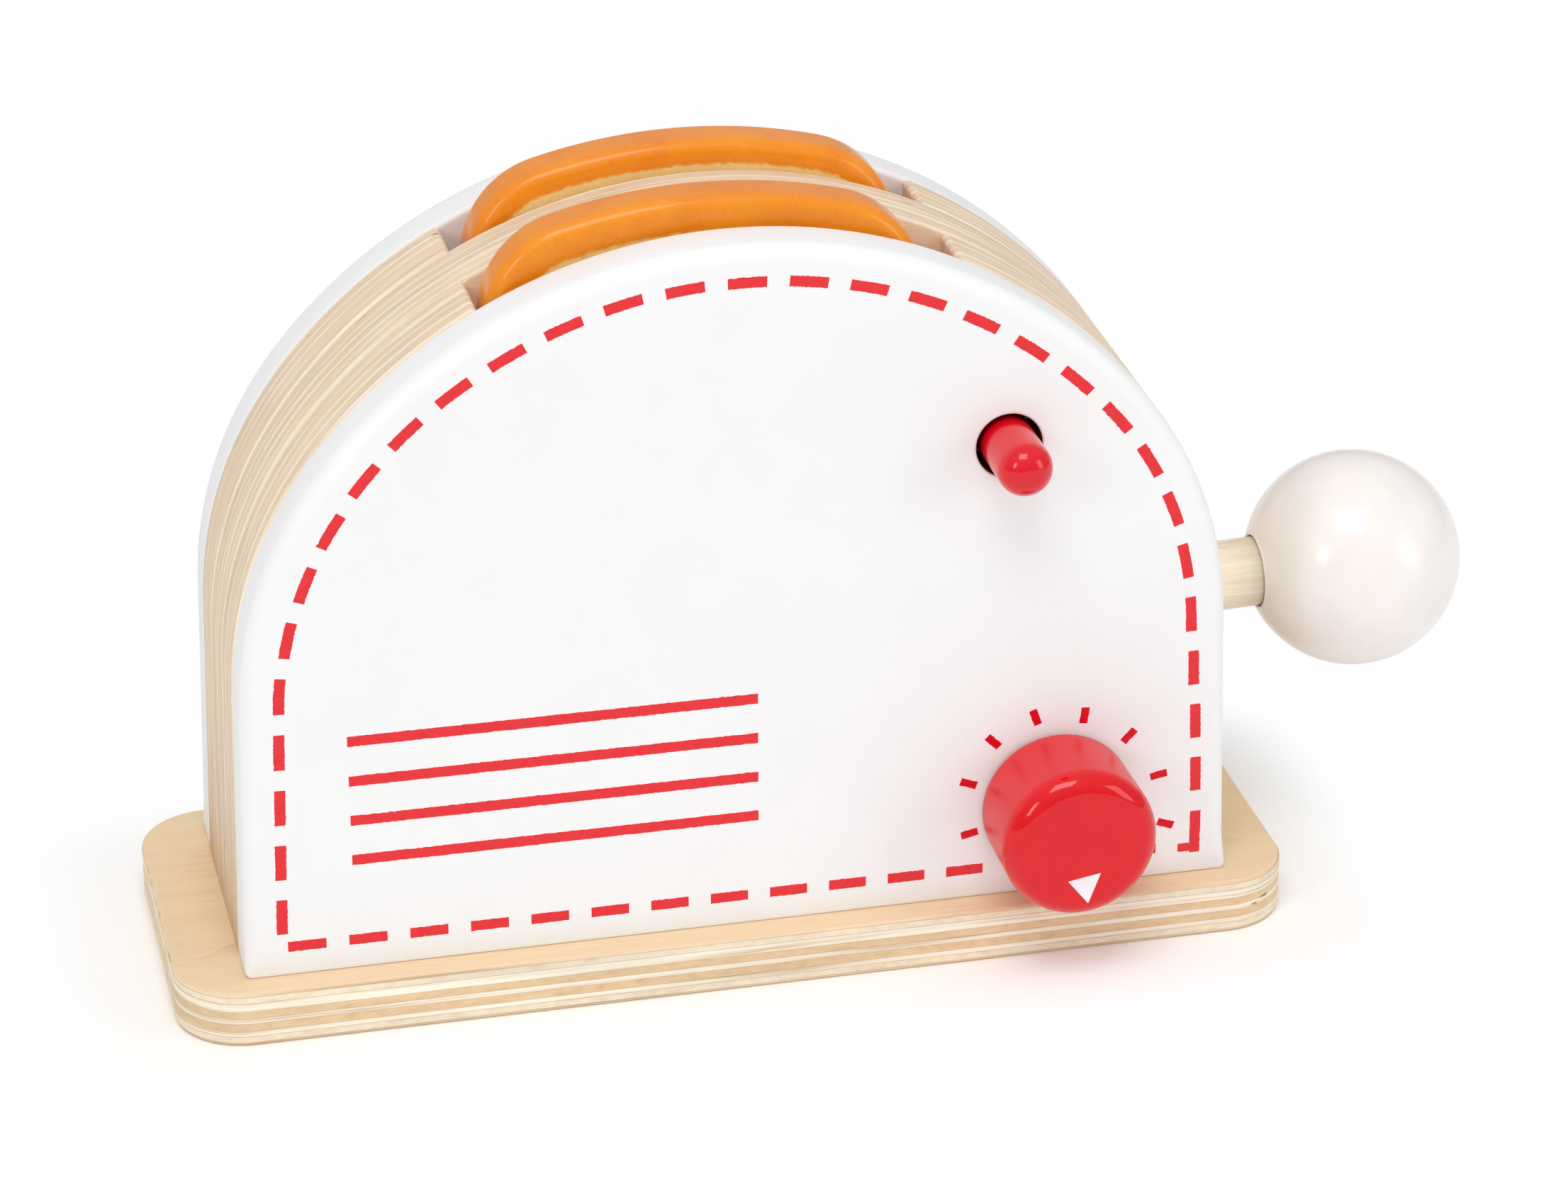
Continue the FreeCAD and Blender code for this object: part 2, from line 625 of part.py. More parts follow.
def lever_ball():
    """The turned ball at the rod's outer end, with a blind bore for the rod."""
    body = lever_frame("lever_ball")
    radius = size("Sizes.ball_diameter / 2")
    reach = size("Sizes.lever_ball_reach")
    centre = FreeCAD.Vector(reach, 0, 0)
    outline = new_sketch(body, "half_section")
    circle = Part.Circle(centre, FreeCAD.Vector(0, 0, 1), radius)
    arc = outline.addGeometry(Part.ArcOfCircle(circle, 0, math.pi))
    left = FreeCAD.Vector(reach - radius, 0, 0)
    right = FreeCAD.Vector(reach + radius, 0, 0)
    axis = outline.addGeometry(Part.LineSegment(left, right))
    outline.addConstraint(Sketcher.Constraint("Coincident", arc, 2, axis, 1))
    outline.addConstraint(Sketcher.Constraint("Coincident", arc, 1, axis, 2))
    pin_point(outline, arc, 3, "Sizes.lever_ball_reach", "0")
    pin_point(outline, axis, 1, "Sizes.lever_ball_reach - Sizes.ball_diameter / 2", "0")
    outline.addConstraint(Sketcher.Constraint("Horizontal", axis))
    turned = body.newObject("PartDesign::Revolution", "lever_ball_turned")
    turned.Profile = outline
    turned.ReferenceAxis = (outline, ["H_Axis"])
    turned.Angle = 360
    doc.recompute()
    bore = new_sketch(body, "rod_bore", "YZ_Plane", "Sizes.lever_ball_reach - Sizes.ball_diameter / 2")
    draw_circle(bore, "0", "0", ROD_RADIUS + " + Sizes.ball_fit_clearance")
    pocket(body, bore, "Sizes.ball_bore_depth + Sizes.ball_fit_clearance", True)


def dial_knob():
    """The turned knob, with a blind bore at the back for its spindle."""
    reach = "(" + FRONT_FACE + " - Sizes.knob_panel_gap)"
    body = new_body("dial_knob", "Sizes.knob_shift", reach, on_deck("Sizes.knob_height"))
    outline = new_sketch(body, "outline")
    draw_circle(outline, "0", "0", "Sizes.knob_diameter / 2")
    pad(body, outline, "Sizes.knob_depth", reverse=False)
    round_edges(
        body, "face", "Sizes.knob_edge_round",
        lambda edge: edge.BoundBox.YMax < -size("Sizes.knob_depth") + 1e-3,
    )
    bore = new_sketch(body, "spindle_bore")
    draw_circle(bore, "0", "0", "Sizes.spindle_diameter / 2 + Sizes.screw_fit_clearance")
    pocket(body, bore, "Sizes.spindle_bite + Sizes.screw_fit_clearance", True)


def small_screw(label, x, head_y, z):
    """A round-head screw that points towards -Y, its head's inner face at head_y."""
    shank = cylinder_along_y(
        label + "_shank", x, head_y + " - Sizes.small_screw_length", z,
        "Sizes.screw_shank_diameter / 2", "Sizes.small_screw_length",
    )
    head = cylinder_along_y(
        label + "_head", x, head_y, z, "Sizes.screw_head_diameter / 2", "Sizes.screw_head_height"
    )
    joined = doc.addObject("Part::Fuse", label + "_joined")
    joined.Base = shank
    joined.Tool = head
    doc.recompute()
    rim = [
        i for i, edge in enumerate(joined.Shape.Edges, start=1)
        if lies_at_y(edge, size(head_y + " + Sizes.screw_head_height"))
    ]
    screw = doc.addObject("Part::Fillet", label)
    screw.Base = joined
    radius = size("Sizes.screw_head_height * 0.6")
    screw.Edges = [(i, radius, radius) for i in rim]
    screw.Label = label
    parts.append(screw)


def drilled_rod(label, x, y, z, radius, length):
    """A rod along Y whose +Y end takes a small screw."""
    rod = cylinder_along_y(label + "_rod", x, y, z, radius, length)
    drill = cylinder_along_y(
        label + "_drill", x, y + " + " + length + " - Sizes.small_screw_length", z,
        "Sizes.screw_shank_diameter / 2 + Sizes.screw_fit_clearance", "Sizes.small_screw_length",
    )
    drilled = doc.addObject("Part::Cut", label)
    drilled.Base = rod
    drilled.Tool = drill
    drilled.Label = label
    return drilled


def dial():
    """The knob's spindle, its felt washer, and the washer and screw that hold it."""
    x, z = "Sizes.knob_shift", on_deck("Sizes.knob_height")
    knob_back = "(" + FRONT_FACE + " - Sizes.knob_panel_gap)"
    spindle_start = "(" + knob_back + " - Sizes.spindle_bite)"
    spindle_end = "(" + FRONT_LAYER_Y + " + Sizes.spindle_end_play)"
    spindle = drilled_rod(
        "dial_spindle", x, spindle_start, z, "Sizes.spindle_diameter / 2",
        "(" + spindle_end + " - " + spindle_start + ")",
    )
    parts.append(spindle)
    ring_along_y(
        "dial_felt_washer", x, "(" + knob_back + " + Sizes.felt_washer_gap)", z,
        "Sizes.felt_washer_diameter / 2",
        "Sizes.spindle_diameter / 2 + Sizes.dowel_clearance * 4",
        "(Sizes.knob_panel_gap - Sizes.felt_washer_gap)",
    )
    ring_along_y(
        "dial_retaining_washer", x, spindle_end, z, "Sizes.dial_washer_diameter / 2",
        "Sizes.screw_shank_diameter / 2 + Sizes.screw_fit_clearance",
        "Sizes.dial_washer_thickness",
    )
    small_screw("dial_screw", x, "(" + spindle_end + " + Sizes.dial_washer_thickness)", z)


def button():
    """The domed push button, its collar, the collar's screw and the return spring."""
    x, z = "Sizes.button_shift", on_deck("Sizes.button_height")
    tip_y = "(" + FRONT_FACE + " - Sizes.button_reach)"
    collar_y = "(" + DIVIDER_Y + " + Sizes.collar_gap)"
    length = "(" + collar_y + " - " + tip_y + ")"
    body = new_body("push_button", x, tip_y, z)
    outline = new_sketch(body, "outline")
    draw_circle(outline, "0", "0", "Sizes.button_diameter / 2")
    pad(body, outline, length)
    round_edges(body, "dome", "Sizes.button_dome_round", lambda edge: lies_at_y(edge, 0.0))
    drill = new_sketch(body, "screw_hole", XZ, "-" + length)
    draw_circle(drill, "0", "0", "Sizes.screw_shank_diameter / 2 + Sizes.screw_fit_clearance")
    pocket(body, drill, "Sizes.small_screw_length", True)
    ring_along_y(
        "button_collar", x, collar_y, z, "Sizes.collar_diameter / 2",
        "Sizes.screw_shank_diameter / 2 + Sizes.screw_fit_clearance", "Sizes.collar_thickness",
    )
    collar_back = "(" + collar_y + " + Sizes.collar_thickness)"
    small_screw("button_screw", x, collar_back, z)
    coil = "Sizes.collar_diameter / 2 - Sizes.spring_pocket_clearance"
    ring_along_y(
        "button_spring", x, collar_back, z, coil, coil + " - Sizes.spring_wire",
        "(" + REAR_LAYER_Y + " - " + collar_back + ")",
    )


def plain_rods():
    """The pivot pin, the lift bar and the dowels: plain round rods along Y."""
    pin = cylinder_along_y(
        "lever_pivot_pin", "Sizes.lever_pivot_shift",
        "(" + DIVIDER_Y + " - Sizes.pivot_pin_bite)", on_deck("Sizes.lever_pivot_height"),
        "Sizes.pivot_pin_diameter / 2", "Sizes.divider_thickness + 2 * Sizes.pivot_pin_bite",
    )
    bar = cylinder_along_y(
        "lift_bar", "Sizes.slot_shift",
        "(" + FRONT_LAYER_Y + " + Sizes.lift_bar_end_gap)", on_deck(BAR_HEIGHT), BAR_RADIUS,
        "(" + STACK + " - 2 * Sizes.panel_thickness - 2 * Sizes.lift_bar_end_gap)",
    )
    parts.extend([pin, bar])
    dowels = []
    for i, (x, height) in enumerate(DOWELS, start=1):
        dowels.append(
            cylinder_along_y(
                "dowel_%d" % i, x, "(" + FRONT_LAYER_Y + " - Sizes.dowel_panel_bite + Sizes.dowel_clearance)",
                on_deck(height), "Sizes.dowel_diameter / 2",
                "(" + STACK + " - 2 * Sizes.panel_thickness + 2 * Sizes.dowel_panel_bite"
                " - 2 * Sizes.dowel_clearance)",
            )
        )
    group("layer_dowels", dowels)


def group(label, items):
    """Like fasteners kept as separate solids of one node."""
    compound = doc.addObject("Part::Compound", label)
    compound.Links = items
    compound.Label = label
    parts.append(compound)


def base_screws():
    """Four countersunk screws from below, through the plate into the divider."""
    screws = []
    for i, x in enumerate(SCREW_SHIFTS, start=1):
        head = doc.addObject("Part::Cone", "base_screw_%d_head" % i)
        head.setExpression("Radius1", "Sizes.base_screw_head_diameter / 2")
        head.setExpression("Radius2", "Sizes.base_screw_shank_diameter / 2")
        head.setExpression(
            "Height", "(Sizes.base_screw_head_diameter - Sizes.base_screw_shank_diameter) / 2"
        )
        place(head, x, "0", "Sizes.base_screw_recess")
        shank = doc.addObject("Part::Cylinder", "base_screw_%d_shank" % i)
        shank.setExpression("Radius", "Sizes.base_screw_shank_diameter / 2")
        shank.setExpression("Height", "Sizes.base_screw_length - Sizes.base_screw_shank_diameter")
        place(shank, x, "0", "Sizes.base_screw_recess")
        tip = doc.addObject("Part::Cone", "base_screw_%d_tip" % i)
        tip.setExpression("Radius1", "Sizes.base_screw_shank_diameter / 2")
        tip.Radius2 = 0
        tip.setExpression("Height", "Sizes.base_screw_shank_diameter - Sizes.base_screw_recess")
        place(
            tip, x, "0",
            "Sizes.base_screw_recess + Sizes.base_screw_length - Sizes.base_screw_shank_diameter",
        )
        screw = doc.addObject("Part::MultiFuse", "base_screw_%d" % i)
        screw.Shapes = [head, shank, tip]
        screws.append(screw)
    group("base_screws", screws)


base_plate()
front_panel()
back_panel()
front_slot_layer()
divider_layer()
slot_layer("rear_slot_layer", REAR_LAYER_Y, None, False)
toast_slice("front_toast", "Sizes.front_slice_shift", FRONT_LAYER_Y)
toast_slice("rear_toast", "Sizes.rear_slice_shift", REAR_LAYER_Y)
lever_rod()
lever_ball()
dial_knob()
dial()
button()
plain_rods()
base_screws()
doc.recompute()

# Every object has to be sound before anything is written.
for item in doc.Objects:
    if "Invalid" in item.State or "Error" in item.State:
        raise RuntimeError(item.Label + " failed: " + str(item.State))
for part in parts:
    if part.Shape.isNull() or not part.Shape.isValid():
        raise RuntimeError(part.Label + " has no valid shape")

os.makedirs("parts", exist_ok=True)
for part in parts:
    part.Shape.exportStep(os.path.join("parts", part.Label + ".step"))
print("%d sub-parts, lift travel %.3f mm" % (len(parts), size(LIFT_TRAVEL)))
print("lift bar height above deck %.3f mm, slice foot %.3f mm" % (size(BAR_HEIGHT), size(SLICE_FOOT)))
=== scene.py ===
import bmesh
import bpy
import math
import numpy as np
from mathutils import Matrix, Vector
from mathutils.geometry import tessellate_polygon


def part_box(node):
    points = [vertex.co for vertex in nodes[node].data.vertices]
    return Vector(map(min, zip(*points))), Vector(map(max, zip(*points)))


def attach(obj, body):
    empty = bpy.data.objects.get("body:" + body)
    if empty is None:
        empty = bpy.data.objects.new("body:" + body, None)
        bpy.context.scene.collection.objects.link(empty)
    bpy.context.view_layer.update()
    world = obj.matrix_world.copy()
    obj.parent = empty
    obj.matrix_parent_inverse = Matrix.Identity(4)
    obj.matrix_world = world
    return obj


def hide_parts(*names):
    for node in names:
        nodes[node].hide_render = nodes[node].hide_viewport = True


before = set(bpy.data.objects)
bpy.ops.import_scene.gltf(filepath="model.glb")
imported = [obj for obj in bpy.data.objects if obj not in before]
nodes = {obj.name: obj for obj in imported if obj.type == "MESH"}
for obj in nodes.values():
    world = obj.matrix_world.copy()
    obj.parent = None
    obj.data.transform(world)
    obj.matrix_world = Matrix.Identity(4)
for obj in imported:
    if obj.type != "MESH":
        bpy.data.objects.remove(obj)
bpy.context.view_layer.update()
MM = 0.001

# The base plate is birch plywood of nine plies under a tan face veneer, cut with
# round corners, its arris eased by hand, and sealed with a thin clear lacquer.
# Four countersunk screws come up through it into the middle board.
plate_low, plate_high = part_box("base_plate")
plate_corner = 13.0 * MM
plate_arris = 0.9 * MM
plate_screw_spacing = 40.0 * MM
plate_screw_hole = 1.85 * MM
plate_screw_mouth = 4.1 * MM


def rounded_loop(points, radii, steps=12):
    """A closed outline whose listed corners become arcs.

    The arc touches both straight sides, so it starts and ends at radius / tan(half
    the corner's angle) from the corner, and points nearer than that are dropped."""
    points = np.asarray(points, float)
    margin = 1.02
    sides, reach, pieces = {}, {}, []
    for i, radius in radii.items():
        before = points[i - 1] - points[i]
        after = points[(i + 1) % len(points)] - points[i]
        before = before / np.linalg.norm(before)
        after = after / np.linalg.norm(after)
        half = np.arccos(np.clip(before @ after, -1, 1)) / 2
        sides[i] = (before, after, half)
        reach[i] = radius / np.tan(half)
    for i, point in enumerate(points):
        if i not in radii:
            near = [np.linalg.norm(point - points[k]) < reach[k] * margin for k in radii]
            if not any(near):
                pieces.append(point[None])
            continue
        before, after, half = sides[i]
        inward = before + after
        inward = inward / np.linalg.norm(inward)
        centre = point + inward * radii[i] / np.sin(half)
        start = point + before * reach[i] - centre
        sweep = np.pi - 2 * half
        turn = np.sign(np.cross(-before, after))
        angle = np.linspace(0, sweep * turn, steps + 1)[:, None]
        side = np.stack([-start[1], start[0]])[None]
        pieces.append(centre + start[None] * np.cos(angle) + side * np.sin(angle))
    return np.concatenate(pieces)


def outward(loop):
    """Mitred normals of a closed loop, on the right of its direction of travel.

    Each is the mean of the two sides' normals, lengthened by 1 / cos(half the turn)
    so that both sides move by the same distance."""
    edge = np.roll(loop, -1, axis=0) - loop
    edge = edge / np.linalg.norm(edge, axis=1, keepdims=True)
    normal = np.stack([edge[:, 1], -edge[:, 0]], axis=1)
    mean = normal + np.roll(normal, 1, axis=0)
    length = np.linalg.norm(mean, axis=1, keepdims=True)
    return mean / length * (2 / length)


def arris_stations(thickness, first_round, last_round, lip=0.25 * MM, steps=7):
    """Pairs of (inset, depth) through a board: a quarter circle at each arris, and a
    narrow flat lip beyond it that keeps the face flat in the light. A round is one
    number, or one for each point of the outline."""
    first, last = np.broadcast_arrays(np.atleast_1d(first_round), np.atleast_1d(last_round))
    angle = np.linspace(0, np.pi / 2, steps + 1)[:, None]
    return np.concatenate(
        [
            np.stack([first + lip, 0 * first], -1)[None],
            np.stack([first * (1 - np.sin(angle)), first * (1 - np.cos(angle))], -1),
            np.stack([last * (1 - np.cos(angle)), thickness - last * (1 - np.sin(angle))], -1),
            np.stack([last + lip, 0 * last + thickness], -1)[None],
        ]
    )


def mesh_object(name, vertices, faces, body, smooth=True, marks=None):
    """A mesh at the origin, its doubles merged and its faces turned outwards. marks
    holds named vectors for its vertices, which its material can read."""
    mesh = bpy.data.meshes.new(name)
    mesh.from_pydata(np.asarray(vertices).reshape(-1, 3).tolist(), [], faces)
    for label, values in (marks or {}).items():
        layer = mesh.attributes.new(label, "FLOAT_VECTOR", "POINT").data
        layer.foreach_set("vector", np.asarray(values, np.float32).ravel())
    work = bmesh.new()
    work.from_mesh(mesh)
    bmesh.ops.remove_doubles(work, verts=work.verts, dist=1e-7)
    bmesh.ops.recalc_face_normals(work, faces=work.faces)
    work.to_mesh(mesh)
    work.free()
    mesh.polygons.foreach_set("use_smooth", [smooth] * len(mesh.polygons))
    piece = bpy.data.objects.new(name, mesh)
    bpy.context.scene.collection.objects.link(piece)
    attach(piece, body)
    return piece


def grid_faces(rows, columns, first=0):
    """Quads of a grid of vertices numbered row by row, each row closed into a ring."""
    row = np.arange(rows - 1)[:, None]
    column = np.arange(columns)[None]
    next_column = (column + 1) % columns
    quads = np.stack(
        [
            row * columns + column,
            row * columns + next_column,
            (row + 1) * columns + next_column,
            (row + 1) * columns + column,
        ],
        axis=-1,
    )
    return (quads.reshape(-1, 4) + first).tolist()


def board(name, loops, stations, lay, body):
    """A board cut from sheet. Every loop of its outline is carried through the depth,
    stepped in by each station's inset, and the two faces are filled between loops.

    stations is one array for all loops, or one for each. lay(flat, depth) puts a
    point of the outline at its depth. The attribute cut keeps each point's run along
    its loop, the sum of the sides before it, and its depth."""
    if isinstance(stations, np.ndarray):
        stations = [stations] * len(loops)
    vertices, cuts, faces, first_rings, last_rings = [], [], [], [], []
    total = 0
    for loop, steps in zip(loops, stations):
        flat = loop[None] - outward(loop)[None] * steps[..., :1]
        depth = np.broadcast_to(steps[..., 1], flat.shape[:2])
        side = np.linalg.norm(np.diff(loop, axis=0), axis=1)
        run = np.broadcast_to(np.concatenate([[0], np.cumsum(side)]), flat.shape[:2])
        vertices.append(lay(flat, depth).reshape(-1, 3))
        cuts.append(np.stack([run, depth, 0 * run], axis=-1).reshape(-1, 3))
        faces += grid_faces(len(steps), len(loop), total)
        first_rings.append((flat[0], total))
        last_rings.append((flat[-1], total + (len(steps) - 1) * len(loop)))
        total += len(steps) * len(loop)
    for rings in (first_rings, last_rings):
        number = np.concatenate([start + np.arange(len(ring)) for ring, start in rings])
        outlines = [[Vector((x, y, 0)) for x, y in ring] for ring, start in rings]
        faces += [[int(number[i]) for i in face] for face in tessellate_polygon(outlines)]
    marks = {"cut": np.concatenate(cuts)}
    return mesh_object(name, np.concatenate(vertices), faces, body, marks=marks)


def run_at(loop, x, y):
    """How far along a loop its point nearest to a place lies."""
    side = np.linalg.norm(np.diff(loop, axis=0), axis=1)
    return float(side[: np.argmin(np.hypot(loop[:, 0] - x, loop[:, 1] - y))].sum())


def circle_loop(x, y, radius, steps=48):
    """A round hole's loop, clockwise, so that its outward side is the empty one."""
    angle = -np.linspace(0, 2 * np.pi, steps, endpoint=False)
    return np.stack([x + radius * np.cos(angle), y + radius * np.sin(angle)], axis=1)


def vectors_of(items, key):
    """A vector for each of a mesh's vertices or faces, such as its place or normal."""
    values = np.zeros(len(items) * 3)
    items.foreach_get(key, values)
    return values.reshape(-1, 3)


def second_material(piece, paint, chosen):
    """Give the chosen faces of a piece a second material."""
    piece.data.materials.append(paint)
    piece.data.polygons.foreach_set("material_index", chosen.astype(np.int32))


def rgb(red, green, blue):
    """A colour as the eye reads it, 0 to 255, as the linear values that nodes take."""
    channel = np.array([red, green, blue], float) / 255
    linear = np.where(channel <= 0.04045, channel / 12.92, ((channel + 0.055) / 1.055) ** 2.4)
    return (*[float(value) for value in linear], 1.0)


def material(name):
    """An empty material with its shader and output."""
    made = bpy.data.materials.new(name)
    made.use_nodes = True
    tree = made.node_tree
    return made, tree, tree.nodes["Principled BSDF"]


def feed(tree, node, inputs):
    """Set a node's inputs to values, or link them where sockets are given."""
    for key, value in inputs.items():
        if isinstance(value, bpy.types.NodeSocket):
            tree.links.new(value, node.inputs[key])
        else:
            node.inputs[key].default_value = value


def add(tree, kind, inputs=None, **settings):
    """A node with its settings, and its inputs given as values or as sockets."""
    node = tree.nodes.new("ShaderNode" + kind)
    for key, value in settings.items():
        setattr(node, key, value)
    feed(tree, node, inputs or {})
    return node


def maths(tree, operation, *values):
    """A Math node's result."""
    return add(tree, "Math", dict(enumerate(values)), operation=operation).outputs[0]


def mix_colour(tree, factor, first, second, blend="MIX"):
    """Two colours mixed by a factor."""
    inputs = {0: factor, 6: first, 7: second}
    return add(tree, "Mix", inputs, data_type="RGBA", blend_type=blend).outputs[2]


def shaded(tree, colour, shade):
    """A colour multiplied by a shade."""
    return mix_colour(tree, 1.0, colour, shade, "MULTIPLY")


def spread(tree, value, low, high):
    """A value of 0 to 1 spread from low to high."""
    return add(tree, "MapRange", {"Value": value, "To Min": low, "To Max": high}).outputs[0]


def marked(tree, name, output="Fac"):
    """One of the mesh's own attributes."""
    node = add(tree, "Attribute", attribute_name=name, attribute_type="GEOMETRY")
    return node.outputs[output]


def grain(tree, scale, detail=4.0, roughness=0.6, distortion=0.0, shift=(0, 0, 0)):
    """Noise on the piece's own coordinates, with a scale per metre for each axis."""
    place = add(tree, "TexCoord").outputs["Object"]
    mapped = add(tree, "Mapping", {"Vector": place, "Scale": scale, "Location": shift})
    inputs = {
        "Vector": mapped.outputs[0], "Scale": 1.0, "Detail": detail,
        "Roughness": roughness, "Distortion": distortion,
    }
    return add(tree, "TexNoise", inputs).outputs["Fac"]


def ramp(tree, factor, stops, interpolation="LINEAR"):
    """A colour ramp from (position, colour) pairs; a plain number stands for a grey."""
    node = add(tree, "ValToRGB", {"Fac": factor})
    node.color_ramp.interpolation = interpolation
    while len(node.color_ramp.elements) < len(stops):
        node.color_ramp.elements.new(1.0)
    for element, (position, colour) in zip(node.color_ramp.elements, stops):
        element.position = position
        element.color = colour if isinstance(colour, tuple) else (*[colour] * 3, 1.0)
    return node.outputs["Color"]


def bump(tree, shader, height, depth):
    """Relief on a shader, its height of 1 standing for that depth in metres."""
    node = add(tree, "Bump", {"Height": height, "Strength": 1.0, "Distance": depth})
    tree.links.new(node.outputs[0], shader.inputs["Normal"])


def plywood(name, thickness, plies, glue, flaws, seed, tick_scale=(420, 800)):
    """Plywood seen on its cut edge, painted on the attribute cut.

    plies lists (thickness, colour, along): along is True where the ply's fibres run
    with the outline. A ramp over the depth gives each ply its colour and the dark
    glue lines between. Noise stretched along the run gives the long fibres, and noise
    scaled by tick_scale along the run and the depth gives the end grain. flaws lists
    small dark marks as (run, depth, length, height), all in one dark brown: knots in
    their own colour, and cracks and voids whose dark is painted shade in the gap."""
    made, tree, shader = material(name)
    cut = marked(tree, "cut", "Vector")
    wander = 0.1 * MM
    line = 0.1 * MM / thickness

    def stretched(run, depth, detail, shift):
        inputs = {"Vector": cut, "Scale": (run, depth, 1.0), "Location": (shift, shift, shift)}
        mapped = add(tree, "Mapping", inputs).outputs[0]
        inputs = {"Vector": mapped, "Scale": 1.0, "Detail": detail, "Roughness": 0.6}
        return add(tree, "TexNoise", inputs).outputs["Fac"]

    wave = maths(tree, "SUBTRACT", stretched(45, 60, 2.0, seed), 0.5)
    at_depth = add(tree, "SeparateXYZ", {"Vector": cut}).outputs["Y"]
    moved = maths(tree, "ADD", at_depth, maths(tree, "MULTIPLY", wave, 2 * wander))
    depth = maths(tree, "DIVIDE", moved, thickness)
    total = sum(ply for ply, colour, along in plies)
    stops, turns, at = [], [], 0.0
    for ply, colour, along in plies:
        after = at + ply / total
        stops += [(at + line, colour), (after - line, colour), (after, glue)]
        turns.append((at, 1.0 if along else 0.0))
        at = after
    colour = ramp(tree, depth, stops[:-1])
    along = ramp(tree, depth, turns, "CONSTANT")
    fibre = stretched(26, 1500, 4.0, seed + 3)
    ticks = spread(tree, stretched(*tick_scale, 4.0, seed + 7), 0.22, 0.86)
    fibres = add(tree, "Mix", {"Factor": along, "A": ticks, "B": fibre}).outputs[0]
    streaks = ramp(
        tree, fibres,
        [(0.30, rgb(216, 200, 180)), (0.45, rgb(246, 241, 234)), (0.60, rgb(255, 255, 255))],
    )
    shades = ramp(tree, stretched(30, 200, 3.0, seed + 11), [(0.30, 0.90), (0.66, 1.04)])
    coloured = shaded(tree, shaded(tree, colour, streaks), shades)
    edge_noise = maths(tree, "MULTIPLY", stretched(900, 2500, 2.0, seed + 5), 0.6)
    # Each flaw mixes in a dark brown: real colour for a knot, painted shade for a crack or void.
    for run, flaw_depth, length, height in flaws:
        way = cut
        for operation, vector in (
            ("SUBTRACT", (run, flaw_depth, 0.0)), ("MULTIPLY", (2 / length, 2 / height, 0.0)),
        ):
            way = add(tree, "VectorMath", {0: way, 1: vector}, operation=operation).outputs[0]
        far = add(tree, "VectorMath", {0: way}, operation="LENGTH").outputs["Value"]
        inputs = {
            "Value": maths(tree, "ADD", far, edge_noise),
            "From Min": 0.7, "From Max": 1.3, "To Min": 0.85, "To Max": 0.0,
        }
        inside = add(tree, "MapRange", inputs).outputs[0]
        coloured = mix_colour(tree, inside, coloured, rgb(112, 80, 56))
    rough = spread(tree, fibres, 0.74, 0.56)
    feed(tree, shader, {"Base Color": coloured, "Roughness": rough, "Specular IOR Level": 0.35})
    bump(tree, shader, fibres, 0.06 * MM)
    return made


tan = rgb(240, 216, 184)
pale = rgb(243, 229, 206)
cream = rgb(253, 244, 226)
brown = rgb(232, 203, 163)
glue_line = rgb(205, 178, 144)
plate_plies = [
    (0.60, tan, True), (1.20, pale, False), (1.65, cream, True), (1.45, brown, False),
    (1.05, cream, True), (1.55, brown, False), (0.95, cream, True), (1.25, pale, False),
    (0.75, tan, True),
]
plate_thickness = plate_high.z - plate_low.z
plate_corners = [
    (plate_low.x, plate_low.y), (plate_high.x, plate_low.y),
    (plate_high.x, plate_high.y), (plate_low.x, plate_high.y),
]
plate_outline = rounded_loop(plate_corners, {i: plate_corner for i in range(4)}, steps=24)
plate_knot = run_at(plate_outline, 98.0 * MM, -34.0 * MM)
plate_flaws = [
    (plate_knot, 5.6 * MM, 3.4 * MM, 0.7 * MM),
    (plate_knot - 2.4 * MM, 4.8 * MM, 1.8 * MM, 0.5 * MM),
]
plate_material = plywood(
    "plate_plywood", plate_thickness, plate_plies[::-1], glue_line, plate_flaws, seed=1.7
)
plate_holes = [
    circle_loop((i - 1.5) * plate_screw_spacing, 0.0, plate_screw_hole) for i in range(4)
]
sink = plate_screw_mouth - plate_screw_hole
plate_stations = arris_stations(plate_thickness, plate_arris, plate_arris)
hole_stations = np.array(
    [[[sink + 0.1 * MM, 0.0]], [[sink, 0.0]], [[0.0, sink]], [[0.0, plate_thickness]]]
)


def lay_flat(flat, depth):
    """Outline in X and Y, depth upwards from the underside."""
    return np.concatenate([flat, depth[..., None] + plate_low.z], axis=-1)


plate = board(
    "plate_board", [plate_outline, *plate_holes], [plate_stations] + [hole_stations] * 4,
    lay_flat, "housing",
)
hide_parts("base_plate")


def veneer(name, colour, dark, seed):
    """A sheet of face veneer, its fine figure running along X under thin lacquer."""
    made, tree, shader = material(name)
    figure = grain(
        tree, (14, 120, 120), detail=5.0, roughness=0.5, distortion=0.6, shift=(seed, 0, 0)
    )
    fine = grain(tree, (60, 2200, 2200), detail=3.0, shift=(0, seed, 0))
    flecks = ramp(tree, fine, [(0.32, rgb(247, 243, 238)), (0.48, rgb(255, 255, 255))])
    colour = shaded(tree, ramp(tree, figure, [(0.35, dark), (0.62, colour)]), flecks)
    feed(tree, shader, {"Base Color": colour, "Roughness": 0.46, "Specular IOR Level": 0.4})
    bump(tree, shader, fine, 0.03 * MM)
    return made


def veneered(piece, edge, paint, axis):
    """Give a board its ply edge, and veneer on the faces that look along an axis."""
    piece.data.materials.append(edge)
    away = np.abs(vectors_of(piece.data.polygons, "normal")[:, axis])
    second_material(piece, paint, away > 0.8)


plate_veneer = veneer("plate_veneer", rgb(238, 212, 174), rgb(234, 207, 169), 0.6)
veneered(plate, plate_material, plate_veneer, 2)

